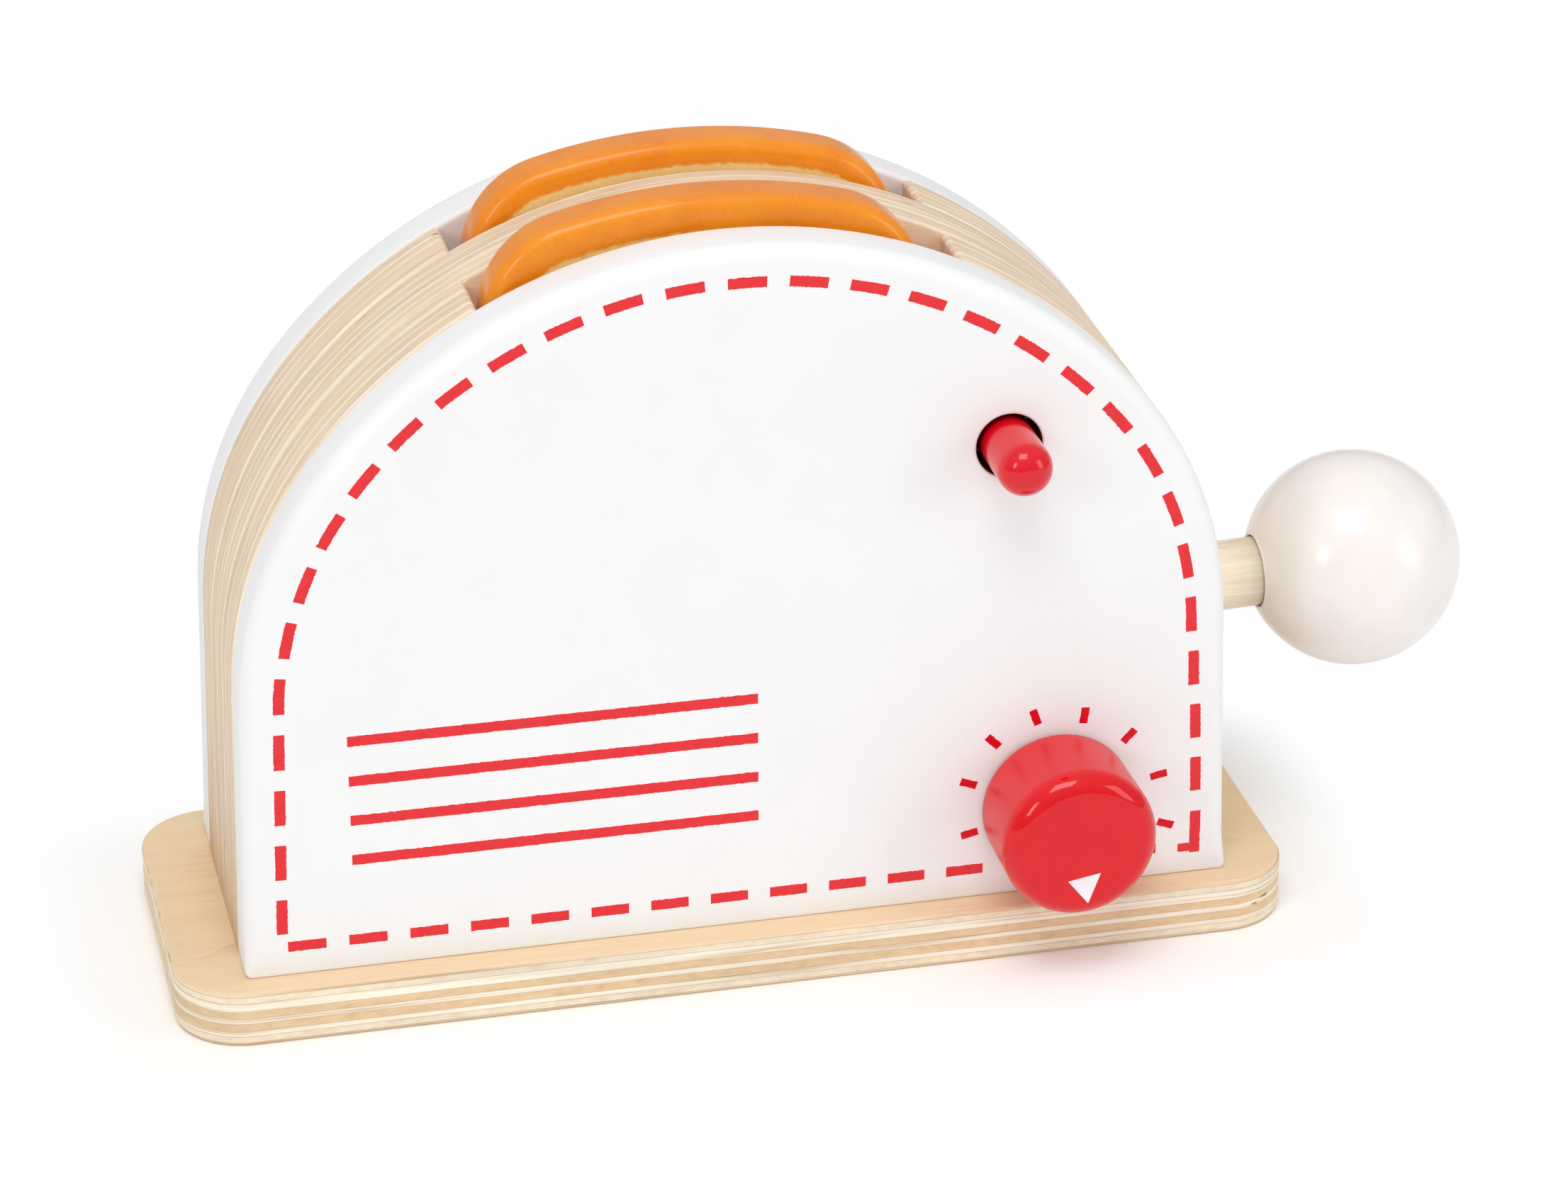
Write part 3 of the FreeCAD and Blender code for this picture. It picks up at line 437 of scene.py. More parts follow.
# The five upright boards share one arch: leaning sides, a shoulder arc each side and
# one crown arc. The outer two are sprayed with white satin lacquer, and the printed
# front one has holes for the button and for the dial's spindle.
panel_low, panel_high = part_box("front_panel")
deck = plate_high.z
arch_foot = 91.2 * MM
arch_spring = 89.8 * MM
arch_spring_height = 50.0 * MM
arch_height = 131.6 * MM
arch_crown = 94.5 * MM
panel_foot_arris = 1.2 * MM
panel_face_arris = 3.0 * MM
panel_joint_arris = 1.0 * MM
button_place = (48.3 * MM, 89.8 * MM)
button_hole = 6.0 * MM
dial_place = (58.1 * MM, 18.0 * MM)
dial_hole = 4.6 * MM


def arched(foot, shoulder, crown, lean, side_steps, top_steps):
    """An outline from its right foot over a shoulder arc and a crown arc, and mirrored.

    shoulder is (x, height, radius) and crown (height, radius). The arcs meet on the
    line through their centres, whose angle has the tangent (height difference / x)."""
    x, height, radius = shoulder
    crown_height, crown_radius = crown
    meet = np.arctan2(height - crown_height, x)
    side = np.linspace(lean, meet, side_steps)
    top = np.linspace(meet, np.pi / 2, top_steps)[1:]
    right = np.concatenate(
        [
            np.stack([x + radius * np.cos(side), height + radius * np.sin(side)], 1),
            np.stack([crown_radius * np.cos(top), crown_height + crown_radius * np.sin(top)], 1),
        ]
    )
    return np.concatenate([[[foot, 0.0]], right, right[::-1][1:] * [-1, 1], [[-foot, 0.0]]])


def arch_points():
    """The boards' arch, heights from the deck.

    The shoulder circle touches the crown circle from inside, so its radius is
    (R^2 - a^2 - k^2) / (2 (R - a)), with a the half width and k the centres' rise."""
    crown_z = arch_height - arch_crown
    rise = crown_z - arch_spring_height
    radius = (arch_crown**2 - arch_spring**2 - rise**2) / (2 * (arch_crown - arch_spring))
    lean = np.arctan2(arch_foot - arch_spring, arch_spring_height)
    shoulder = (arch_spring - radius, arch_spring_height, radius)
    return arched(arch_foot, shoulder, (crown_z, arch_crown), lean, 45, 45)


def stand_at(front):
    """Outline in X and height above the deck, depth backwards from a board's face."""
    return lambda flat, depth: np.stack([flat[..., 0], depth + front, flat[..., 1] + deck], -1)


arch = arch_points()
climb = np.array([1.6, 2.4, 3.3, 4.3, 5.5, 7.0]) * MM
shin = np.stack([np.interp(climb, arch[:2, 1], arch[:2, 0]), climb], axis=1)
panel_outline = np.concatenate([arch[:1], shin, arch[1:-1], shin[::-1] * [-1, 1], arch[-1:]])
panel_outline = rounded_loop(
    panel_outline, {0: panel_foot_arris, len(panel_outline) - 1: panel_foot_arris}, steps=8
)
outer_arris = np.interp(
    panel_outline[:, 1], np.array([0.0, 0.6, 1.2, 6.0]) * MM,
    [0.4 * MM, 0.8 * MM, panel_foot_arris, panel_face_arris],
)
panel_thickness = panel_high.y - panel_low.y
button_bore = arris_stations(panel_thickness, 0.5 * MM, 0.2 * MM, lip=0.1 * MM, steps=4)
front_board = board(
    "front_board",
    [panel_outline, circle_loop(*button_place, button_hole), circle_loop(*dial_place, dial_hole)],
    [arris_stations(panel_thickness, outer_arris, panel_joint_arris), button_bore, button_bore],
    stand_at(panel_low.y), "housing",
)
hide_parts("front_panel")
back_low, back_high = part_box("back_panel")
back_board = board(
    "back_board", [panel_outline],
    arris_stations(back_high.y - back_low.y, panel_joint_arris, outer_arris),
    stand_at(back_low.y), "housing",
)
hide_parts("back_panel")


def mark_points(piece, name, values):
    """Keep a number for each of a piece's vertices in an attribute."""
    layer = piece.data.attributes.new(name, "FLOAT", "POINT").data
    layer.foreach_set("value", values.astype(np.float32))


def white_lacquer(name, colour, seed, bore_shade=None):
    """Sprayed satin lacquer: faint orange peel, and a breath of the ply's grain. The last
    argument, when given, is a dark brown put on the points that the mesh's attribute
    marks: bare wood in a hole, darkened as painted shade inside it."""
    made, tree, shader = material(name)
    peel = grain(tree, (620, 620, 620), detail=2.0, shift=(seed, 0, 0))
    broad = grain(tree, (40, 40, 40), detail=3.0, shift=(0, seed, 0))
    ply = grain(tree, (14, 900, 900), detail=4.0, shift=(0, 0, seed))
    colour = shaded(tree, colour, ramp(tree, broad, [(0.3, 0.975), (0.7, 1.0)]))
    if bore_shade:
        colour = mix_colour(tree, marked(tree, "bore_shade"), colour, bore_shade)
    rough = spread(tree, broad, 0.48, 0.58)
    feed(tree, shader, {"Base Color": colour, "Roughness": rough, "Specular IOR Level": 0.35})
    bump(tree, shader, maths(tree, "ADD", peel, maths(tree, "MULTIPLY", ply, 0.6)), 0.012 * MM)
    return made


# The wall of the button's hole is marked and coloured dark brown: bare wood, darkened as painted
# shade inside the hole.
front_board.data.materials.append(
    white_lacquer("front_lacquer_bore_shade", rgb(245, 245, 245), 0.3, rgb(84, 48, 30))
)
spots = vectors_of(front_board.data.vertices, "co")
radius = np.hypot(spots[:, 0] - button_place[0], spots[:, 2] - deck - button_place[1])
inside = (radius < button_hole + 0.3 * MM) & (spots[:, 1] > panel_low.y + 0.2 * MM)
mark_points(front_board, "bore_shade", inside)
back_board.data.materials.append(white_lacquer("back_lacquer", rgb(243, 243, 244), 0.9))

# The three inner boards are bare sanded birch plywood. Two have a slot, open at the
# top, for a slice of toast each. The middle one has the lever's window, open at the
# right, the lift bar's slot above it and the hole for the button's spring.
slot_left = -43.9 * MM
slot_right = 41.5 * MM
slot_floor = 46.86 * MM
slot_mouth = 1.0 * MM
slot_corner = 0.6 * MM
layer_arris = 0.35 * MM
core_light = rgb(253, 240, 221)
core_warm = rgb(250, 232, 209)
core_deep = rgb(240, 217, 188)
core_glue = rgb(210, 178, 144)
core_ticks = (70, 900)


def slotted(points):
    """The arch with the slot cut into it: the part between the walls is swapped for
    the two walls and the floor."""
    right = points[points[:, 0] >= slot_right]
    left = points[points[:, 0] <= slot_left]
    xs, zs = points[points[:, 1] > arch_spring_height][::-1].T
    walls = [
        (slot_right, np.interp(slot_right, xs, zs)), (slot_right, slot_floor),
        (slot_left, slot_floor), (slot_left, np.interp(slot_left, xs, zs)),
    ]
    rounds = (slot_mouth, slot_corner, slot_corner, slot_mouth)
    corners = {len(right) + i: radius for i, radius in enumerate(rounds)}
    return rounded_loop(np.concatenate([right, walls, left]), corners)


def core_plies(count, seed):
    """Plies of nearly equal thickness, turned crosswise by turns."""
    pick = np.random.default_rng(seed)
    plies = []
    for i in range(count):
        share = float(pick.uniform(0.8, 1.2))
        along = i % 2 == 0
        colour = (core_light, core_warm)[int(pick.integers(2))] if along else core_deep
        plies.append((share, colour, along))
    return plies


def finish_core(piece, thickness, plies, flaws, seed):
    """Give a core board its ply edge and the veneer of its two flat faces."""
    edge = plywood(
        piece.name + "_plywood", thickness, plies, core_glue, flaws, seed, tick_scale=core_ticks
    )
    paint = veneer(piece.name + "_veneer", rgb(253, 231, 203), rgb(249, 222, 189), seed)
    veneered(piece, edge, paint, 1)


slotted_arch = slotted(arch)
# Flaws on the rear board's edge: a void, whose dark brown is painted shade in the gap, and a speck.
arm_void = run_at(slotted_arch, -45.1 * MM, 120.2 * MM)
arm_speck = run_at(slotted_arch, -68.6 * MM, 102.0 * MM)
rear_flaws = [
    (arm_void, 9.7 * MM, 2.4 * MM, 0.8 * MM), (arm_speck, 11.0 * MM, 1.0 * MM, 0.4 * MM),
]
for node, name, slot, seed, flaws in (
    ("front_slot_layer", "front_core", "birch_ply_front_layer", 3, []),
    ("rear_slot_layer", "rear_core", "birch_ply_rear_layer", 8, rear_flaws),
):
    low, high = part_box(node)
    core = board(
        name, [slotted_arch], arris_stations(high.y - low.y, layer_arris, layer_arris, steps=3),
        stand_at(low.y), "housing",
    )
    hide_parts(node)
    finish_core(core, high.y - low.y, core_plies(9, seed), flaws, seed)

divider_low, divider_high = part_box("divider_layer")
window = np.array(
    [
        (90.6, 52.8), (55.0, 51.1), (3.1, 67.5), (3.1, 77.2), (-5.5, 77.2), (-5.5, 70.2),
        (-10.2, 71.7), (-10.2, 33.6), (55.0, 33.6), (90.9, 23.8),
    ]
) * MM
spring_hole = 6.6 * MM
window_round = 0.8 * MM
above_window = 1 + int(np.argmax(arch[1:-1, 1] > window[0, 1]))
middle_outline = rounded_loop(
    np.concatenate([arch[:1], window[::-1], arch[above_window:]]),
    {i: window_round for i in (2, 3, 4, 9)}, steps=5,
)
middle_core = board(
    "middle_core", [middle_outline, circle_loop(*button_place, spring_hole)],
    arris_stations(divider_high.y - divider_low.y, layer_arris, layer_arris, steps=3),
    stand_at(divider_low.y), "housing",
)
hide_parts("divider_layer")
# Flaws on the middle board's edge: a crack, whose dark brown is painted shade in the gap, and a
# streak.
middle_crack = run_at(middle_outline, 38.3 * MM, 123.7 * MM)
middle_streak = run_at(middle_outline, -60.2 * MM, 109.9 * MM)
middle_flaws = [
    (middle_crack, 10.7 * MM, 5.0 * MM, 0.5 * MM),
    (middle_streak, 13.2 * MM, 3.6 * MM, 0.25 * MM),
]
finish_core(middle_core, divider_high.y - divider_low.y, core_plies(11, 21), middle_flaws, 5)

# The front board's print is one pass of red ink, a few hundredths of a millimetre
# thick: a dashed line inside the edge, four stripes for vents, and the dial's ticks.
ink_inset = 6.5 * MM
ink_height = 0.03 * MM
dash_length = 6.9 * MM
dash_width = 2.0 * MM
dash_pitch = 11.0 * MM
dash_row_height = 5.76 * MM
dash_row_start = -79.9 * MM
dash_row_count = 15
dash_left_foot = 11.86 * MM
dash_right_foot = 20.4 * MM
dash_steps = 22
dash_drift = (
    0.49, 0.44, 0.12, -0.36, -0.36, 0.08, 0.25, 0.20, 0.06, -0.06, -0.03, 0.18, 0.18, 0.09, 0.07,
    0.24, 0.44, 0.27, 0.25, 0.30, 0.28, -0.06, -0.50, -0.63, -0.53, -0.32, -0.27, -0.29, -0.28,
    -0.36,
)
corner_dash_foot = (84.98 * MM, 4.1 * MM)
corner_dash_rise = 8.6 * MM
corner_dash_leg = 2.2 * MM
corner_leg_rise = 1.2 * MM
corner_leg_gap = 0.03 * MM
stripe_left = -71.2 * MM
stripe_right = 2.6 * MM
stripe_top = 45.3 * MM
stripe_pitch = 7.83 * MM
stripe_width = 2.0 * MM
ink_red = rgb(232, 52, 58)
tick_size = (3.2 * MM, 1.5 * MM)
tick_marks = (
    (41.95, 13.23, 12.0), (41.66, 23.50, -20.6), (46.20, 31.50, -46.1), (54.03, 35.53, -71.2),
    (63.26, 34.88, 82.3), (71.81, 29.73, 47.2), (77.67, 21.05, 10.0), (79.25, 10.77, -20.0),
)


def ink_strip(line, width, pick):
    """A strip of ink along a line of points, slightly uneven at its two edges, as a
    closed slab: its front ring of points stands just proud of the board."""
    step = np.gradient(line, axis=0)
    step = step / np.linalg.norm(step, axis=1, keepdims=True)
    normal = np.stack([-step[:, 1], step[:, 0]], axis=1)
    rag = pick.normal(0, 0.035 * MM, (2, len(line), 1))
    left = line + normal * (width / 2 + rag[0])
    right = line - normal * (width / 2 + rag[1])
    return np.stack([left, right], axis=1)


def ink_object(name, strips, colour, front, body, seed):
    """All strips in one mesh. Each strip is a grid of 4 columns: back, front, front,
    back, closed round its width and capped at its two ends."""
    vertices, faces, total = [], [], 0
    for strip in strips:
        rows = len(strip)
        flush = np.full((rows, 2), front - ink_height)
        face = np.stack([strip[..., 0], flush, strip[..., 1] + deck], axis=-1)
        sunk = face + [0, 2 * ink_height, 0]
        ring = np.stack([sunk[:, 0], face[:, 0], face[:, 1], sunk[:, 1]], axis=1)
        vertices.append(ring.reshape(-1, 3))
        faces += grid_faces(rows, 4, total)
        faces += [[total + k for k in range(4)], [total + (rows - 1) * 4 + k for k in range(4)]]
        total += rows * 4
    piece = mesh_object(name, np.concatenate(vertices), faces, body, smooth=False)
    made, tree, shader = material(name + "_ink")
    mottle = grain(tree, (420, 420, 420), detail=4.0, shift=(seed, 0, 0))
    colour = shaded(tree, colour, ramp(tree, mottle, [(0.35, 0.93), (0.65, 1.02)]))
    feed(tree, shader, {"Base Color": colour, "Roughness": 0.42, "Specular IOR Level": 0.2})
    bump(tree, shader, mottle, 0.006 * MM)
    piece.data.materials.append(made)


def level_line(left, right, height, steps):
    """Points of a level line."""
    return np.stack([np.linspace(left, right, steps), np.full(steps, height)], axis=1)


pick = np.random.default_rng(11)
inner_path = arch - outward(arch) * ink_inset
inner_path[0] = [arch_foot - ink_inset, dash_row_height]
inner_path[-1] = [-arch_foot + ink_inset, dash_row_height]
dense = np.concatenate(
    [np.linspace(a, b, 9)[:-1] for a, b in zip(inner_path[:-1], inner_path[1:])]
    + [inner_path[-1:]]
)
travel = np.concatenate([[0], np.cumsum(np.linalg.norm(np.diff(dense, axis=0), axis=1))])


def along_path(distance):
    """Points of the dashed line at distances from its right foot."""
    return np.stack([np.interp(distance, travel, dense[:, k]) for k in (0, 1)], axis=1)


half_way = len(dense) // 2
right_start = np.interp(dash_right_foot, dense[:half_way, 1], travel[:half_way])
left_end = np.interp(-dash_left_foot, -dense[half_way:, 1], travel[half_way:])
dash_strips = []
for centre, drift in zip(np.linspace(right_start, left_end, len(dash_drift)), dash_drift):
    reach = np.linspace(centre - dash_length / 2, centre + dash_length / 2, dash_steps)
    line = along_path(reach)
    way = (line[-1] - line[0]) / dash_length
    line = line + np.array([way[1], -way[0]]) * drift * MM
    dash_strips.append(ink_strip(line, dash_width, pick))
for i in range(dash_row_count):
    centre = dash_row_start + i * dash_pitch
    ends = (centre - dash_length / 2, centre + dash_length / 2)
    line = level_line(*ends, dash_row_height, dash_steps)
    dash_strips.append(ink_strip(line, dash_width, pick))
foot_x, foot_z = corner_dash_foot
line = level_line(0, corner_dash_rise, 0, dash_steps)[:, ::-1] + [foot_x, foot_z]
dash_strips.append(ink_strip(line, dash_width, pick))
leg_end = foot_x - dash_width / 2
line = level_line(
    leg_end - corner_dash_leg, leg_end - corner_leg_gap, foot_z + corner_leg_rise, 10
)
dash_strips.append(ink_strip(line, 0.85 * dash_width, pick))
stripe_strips = []
for i in range(4):
    line = level_line(stripe_left, stripe_right, stripe_top - i * stripe_pitch, 150)
    stripe_strips.append(ink_strip(line, stripe_width, pick))
tick_strips = []
for x, height, angle in tick_marks:
    way = np.array([math.cos(math.radians(angle)), math.sin(math.radians(angle))])
    reach = np.linspace(-0.5, 0.5, 10)[:, None] * tick_size[0]
    tick_strips.append(ink_strip(np.array([x, height]) * MM + way * reach, tick_size[1], pick))
for name, strips, colour, seed in (
    ("dash_print", dash_strips, ink_red, 2.0), ("stripe_print", stripe_strips, ink_red, 3.0),
    ("tick_print", tick_strips, rgb(220, 0, 26), 4.0),
):
    ink_object(name, strips, colour, panel_low.y, "housing", seed)

# The slices are sawn from board, rounded over on every arris, dipped in orange
# stain and printed pale on their flat faces. They are loose in their slots.
slice_crown = 100.0 * MM
slice_shoulder = 18.0 * MM
slice_foot = 36.0 * MM
slice_foot_round = 8.0 * MM
slice_arris = 2.5 * MM


def slice_outline(half, height):
    """A slice: sides that widen upwards, a shoulder arc each side and a crown arc."""
    crown_z = height - slice_crown
    centre_x = half - slice_shoulder
    centre_z = crown_z + math.sqrt((slice_crown - slice_shoulder) ** 2 - centre_x**2)
    lean = -math.atan2(half - slice_foot, centre_z)
    shoulder = (centre_x, centre_z, slice_shoulder)
    points = arched(slice_foot, shoulder, (crown_z, slice_crown), lean, 30, 24)
    return rounded_loop(points, {0: slice_foot_round, len(points) - 1: slice_foot_round})


def toast_piece(name, node, body):
    """The slice as rings: round the arris, then shrinking towards its middle on both
    faces. Each ring's distance from the outline is kept in the attribute rim."""
    low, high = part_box(node)
    half, height = (high.x - low.x) / 2, high.z - low.z
    loop = slice_outline(half, height)
    middle_x = (low.x + high.x) / 2
    thickness = high.y - low.y
    arris = arris_stations(thickness, slice_arris, slice_arris, steps=9)[1:-1]
    ring = loop[None] - outward(loop)[None] * arris[..., :1]
    depth = np.broadcast_to(arris[..., 1], ring.shape[:2])
    centre = np.array([0.0, height * 0.5])
    shrink = np.concatenate([np.linspace(0.985, 0.70, 16), np.linspace(0.6, 0.0, 6)])
    first = centre + (ring[0][None] - centre) * shrink[::-1, None, None]
    last = centre + (ring[-1][None] - centre) * shrink[:, None, None]
    flat = np.concatenate([first, ring, last])
    depth = np.concatenate([np.zeros(first.shape[:2]), depth, np.full(last.shape[:2], thickness)])
    points = np.stack([flat[..., 0] + middle_x, depth + low.y, flat[..., 1] + low.z], -1)
    faces = grid_faces(len(flat), len(loop))
    piece = mesh_object(name, points, faces, body)
    spots = vectors_of(piece.data.vertices, "co")[:, [0, 2]] - [middle_x, low.z]
    gap = np.sqrt(((spots[:, None] - loop[None]) ** 2).sum(-1)).min(1)
    mark_points(piece, "rim", gap)
    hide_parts(node)
    return piece


def toast_finish(name, crust_band, seed):
    """Orange stain on the crust and a pale crumb print inside a ragged line."""
    made, tree, shader = material(name)
    rag = 1.2 * MM
    blur = 0.3 * MM
    ragged = maths(tree, "SUBTRACT", grain(tree, (600, 600, 600), shift=(seed, 0, 0)), 0.5)
    edge = maths(tree, "ADD", marked(tree, "rim"), maths(tree, "MULTIPLY", ragged, rag))
    limits = {"Value": edge, "From Min": crust_band - blur, "From Max": crust_band + blur}
    crumb = add(tree, "MapRange", limits).outputs[0]
    broad = grain(tree, (90, 90, 90), shift=(0, seed, 0))
    speck = grain(tree, (1500, 1500, 1500), detail=2.0, shift=(0, 0, seed))
    crust = ramp(tree, broad, [(0.3, rgb(236, 131, 0)), (0.7, rgb(244, 148, 6))])
    soft = ramp(tree, broad, [(0.3, rgb(246, 208, 130)), (0.7, rgb(250, 222, 152))])
    colour = mix_colour(tree, crumb, crust, soft)
    inputs = {
        "Base Color": shaded(tree, colour, ramp(tree, speck, [(0.3, 0.93), (0.5, 1.0)])),
        "Roughness": 0.42, "Specular IOR Level": 0.3, "Coat Weight": 0.4,
        "Coat Roughness": 0.11, "Sheen Weight": 0.12, "Sheen Roughness": 0.4,
    }
    feed(tree, shader, inputs)
    bump(tree, shader, speck, 0.04 * MM)
    return made


front_slice = toast_piece("front_slice", "front_toast", "front_slice")
front_slice.data.materials.append(toast_finish("front_slice_stain", 6.0 * MM, 0.4))
rear_slice = toast_piece("rear_slice", "rear_toast", "rear_slice")
rear_slice.data.materials.append(toast_finish("rear_slice_stain", 4.3 * MM, 2.4))

# The lever is a turned beech rod that rocks on a steel pin, with a white lacquered
# ball glued on its outer end. The lacquer stops at the rod in a thin raised ring.
lever_pivot = (55.0 * MM, 0.0, 53.6 * MM)
lever_tilt = math.radians(2.5)
rod_radius = 6.5 * MM
rod_inner = 64.0 * MM
rod_end_round = 1.5 * MM
ball_radius = 20.25 * MM
ball_reach = 69.0 * MM
ball_mouth = 6.75 * MM
ball_bore = 9.0 * MM


def turned(name, profile, origin, axis, body, steps=96):
    """A piece turned on a lathe. profile lists (distance along the axis, radius), and
    each point of it goes round the axis in a circle."""
    axis = np.array(axis, float) / np.linalg.norm(axis)
    side = np.cross(axis, [0.0, 1.0, 0.0] if abs(axis[1]) < 0.9 else [0.0, 0.0, 1.0])
    side = side / np.linalg.norm(side)
    up = np.cross(axis, side)
    angle = np.linspace(0, 2 * np.pi, steps, endpoint=False)
    profile = np.asarray(profile, float)
    round_way = np.cos(angle)[:, None] * side + np.sin(angle)[:, None] * up
    along, out = profile[:, 0, None, None], profile[:, 1, None, None]
    points = np.array(origin) + along * axis + out * round_way[None]
    faces = grid_faces(len(profile), steps)
    return mesh_object(name, points, faces, body)


def arc(centre_along, centre_out, radius, start, end, steps):
    """Profile points on a circle, angles from the axis direction in degrees."""
    angle = np.radians(np.linspace(start, end, steps))
    way = np.stack([np.cos(angle), np.sin(angle)], 1)
    return np.array([centre_along, centre_out]) + radius * way


lever_way = (math.cos(lever_tilt), 0.0, math.sin(lever_tilt))
ball_edge = ball_reach - math.sqrt(ball_radius**2 - ball_mouth**2)
rod_profile = np.concatenate(
    [
        [[-rod_inner, 0.0]],
        arc(-rod_inner + rod_end_round, rod_radius - rod_end_round, rod_end_round, 180, 90, 8),
        [[-20 * MM, rod_radius], [20 * MM, rod_radius], [ball_edge + 10 * MM, rod_radius]],
        [[ball_edge + 10 * MM, 0.0]],
    ]
)
rod = turned("lever_dowel", rod_profile, lever_pivot, lever_way, "lever")
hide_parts("lever_rod")
mouth_angle = 180 - math.degrees(math.asin(ball_mouth / ball_radius))
ball_profile = np.concatenate(
    [
        arc(ball_reach, 0.0, ball_radius, 0, mouth_angle - 1.0, 90),
        [[ball_edge - 0.12 * MM, ball_mouth + 0.35 * MM]],
        [[ball_edge - 0.05 * MM, ball_mouth + 0.1 * MM]],
        [[ball_edge + 0.4 * MM, ball_mouth - 0.05 * MM]],
        [[ball_edge + ball_bore, ball_mouth - 0.05 * MM], [ball_edge + ball_bore, 0.0]],
    ]
)
ball_profile[0, 1] = 0.0
ball = turned(
    "lever_knob_ball", ball_profile, lever_pivot, lever_way, "lever", 128
)
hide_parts("lever_ball")


def clear_beech(name, along, colour, dark, rough=0.42, seed=0.0):
    """Fine straight-grained wood whose fibres run along the direction given."""
    made, tree, shader = material(name)
    stretch = [700.0 if way == 0 else 26.0 for way in along]
    fine = [2600.0 if way == 0 else 90.0 for way in along]
    figure = grain(tree, stretch, detail=4.0, roughness=0.55, shift=(seed, seed, 0))
    pores = grain(tree, fine, detail=3.0, shift=(seed, 0, seed))
    colour = ramp(tree, figure, [(0.32, dark), (0.60, colour)])
    flecks = ramp(tree, pores, [(0.30, 0.80), (0.42, 1.0)])
    feed(tree, shader, {"Base Color": shaded(tree, colour, flecks), "Roughness": rough})
    bump(tree, shader, pores, 0.03 * MM)
    return made


rod.data.materials.append(
    clear_beech("rod_wood", (1, 0, 0), rgb(255, 243, 222), rgb(246, 226, 196))
)


def gloss_paint(name, colour, shine, peel_depth, seed):
    """Dipped gloss paint over turned wood: smooth, with slow waves and a few specks.
    shine holds the roughness, the specular level, the coat's weight and its roughness."""
    made, tree, shader = material(name)
    waves = grain(tree, (130, 130, 130), detail=2.0, shift=(seed, 0, 0))
    dust = grain(tree, (2200, 2200, 2200), detail=1.0, shift=(0, seed, 0))
    colour = shaded(tree, colour, ramp(tree, waves, [(0.3, 0.96), (0.7, 1.0)]))
    sockets = ("Roughness", "Specular IOR Level", "Coat Weight", "Coat Roughness")
    feed(tree, shader, {"Base Color": colour, **dict(zip(sockets, shine))})
    specks = ramp(tree, dust, [(0.78, 0.0), (0.86, 1.0)])
    bump(tree, shader, maths(tree, "ADD", waves, maths(tree, "MULTIPLY", specks, 0.15)), peel_depth)
    return made


ball.data.materials.append(
    gloss_paint("ball_paint", rgb(246, 240, 236), (0.3, 0.3, 0.5, 0.13), 0.05 * MM, 1.0)
)

# The dial is a turned knob in red gloss paint, a little wider at its face, with a
# white pointer printed on it. It turns on a spindle through the front board.
knob_low, knob_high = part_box("dial_knob")
knob_radius = 14.1 * MM
knob_face_radius = 14.35 * MM
knob_arris = 4.0 * MM
knob_centre = (dial_place[0], knob_high.y, dial_place[1] + deck)
knob_depth = knob_high.y - knob_low.y
knob_profile = np.concatenate(
    [
        [[0.0, 0.0], [0.0, knob_radius - 0.9 * MM]],
        arc(0.5 * MM, knob_radius - 0.5 * MM, 0.5 * MM, 180, 95, 6),
        np.linspace(
            [2 * MM, knob_radius + 0.02 * MM],
            [knob_depth - knob_arris - 0.5 * MM, knob_face_radius - 0.01 * MM], 6,
        ),
        arc(knob_depth - knob_arris, knob_face_radius - knob_arris, knob_arris, 90, 0, 14),
        [[knob_depth, knob_face_radius - knob_arris - 0.5 * MM]],
        [[knob_depth, 6 * MM], [knob_depth, 0.0]],
    ]
)
knob = turned("dial_cap", knob_profile, knob_centre, (0, -1, 0), "dial")
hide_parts("dial_knob")
knob_red = rgb(222, 0, 20)
knob_peel = 0.06 * MM
knob.data.materials.append(
    gloss_paint("knob_side_paint", knob_red, (0.42, 0.3, 0.5, 0.36), knob_peel, 3.0)
)
face_paint = gloss_paint("knob_face_paint", knob_red, (0.42, 0.05, 0.8, 0.05), knob_peel, 3.0)
middles = vectors_of(knob.data.polygons, "center")
second_material(knob, face_paint, middles[:, 1] < knob_low.y + knob_arris)
pointer_top_left = np.array([55.19, 11.88]) * MM
pointer_top_right = np.array([61.25, 12.91]) * MM
pointer_tip = np.array([59.01, 6.96]) * MM
toward_tip = np.linspace(0, 0.98, 14)[:, None]
pointer_tops = (pointer_top_left, pointer_top_right)
pointer_strip = np.stack([top + (pointer_tip - top) * toward_tip for top in pointer_tops], axis=1)
pointer_white = rgb(244, 240, 242)
ink_object(
    "pointer_print", [pointer_strip], pointer_white, knob_low.y, "dial", 6.0
)

# The button is a dowel with a domed end, dipped in the same red, in a bore through
# the front board. A collar and a spring behind the board push it out again.
button_low, button_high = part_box("push_button")
button_radius = 5.0 * MM
button_dome = 4.4 * MM
button_length = button_high.y - button_low.y
button_profile = np.concatenate(
    [
        [[0.0, 0.0], [0.0, button_radius - 0.4 * MM], [0.4 * MM, button_radius]],
        np.linspace(
            [6 * MM, button_radius], [button_length - button_dome - 1 * MM, button_radius], 5
        ),
        arc(button_length - button_dome, button_radius - button_dome, button_dome, 90, 0, 16),
        [[button_length, 0.0]],
    ]
)
button_back = (button_place[0], button_high.y, button_place[1] + deck)
button = turned(
    "button_dowel", button_profile, button_back, (0, -1, 0), "button", 64
)
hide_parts("push_button")
button.data.materials.append(
    gloss_paint("button_paint", rgb(222, 4, 26), (0.38, 0.1, 0.8, 0.06), 0.05 * MM, 5.0)
)

# What is inside or underneath keeps its CAD solid: pins, screws and washers of zinc
# plated steel, a felt washer, and beech for the dowels, spindle, collar and lift bar.
steel_nodes = (
    "lever_pivot_pin", "dial_retaining_washer", "dial_screw", "button_screw", "button_spring",
    "base_screws",
)
beech_nodes = ("lift_bar", "layer_dowels", "dial_spindle", "button_collar")


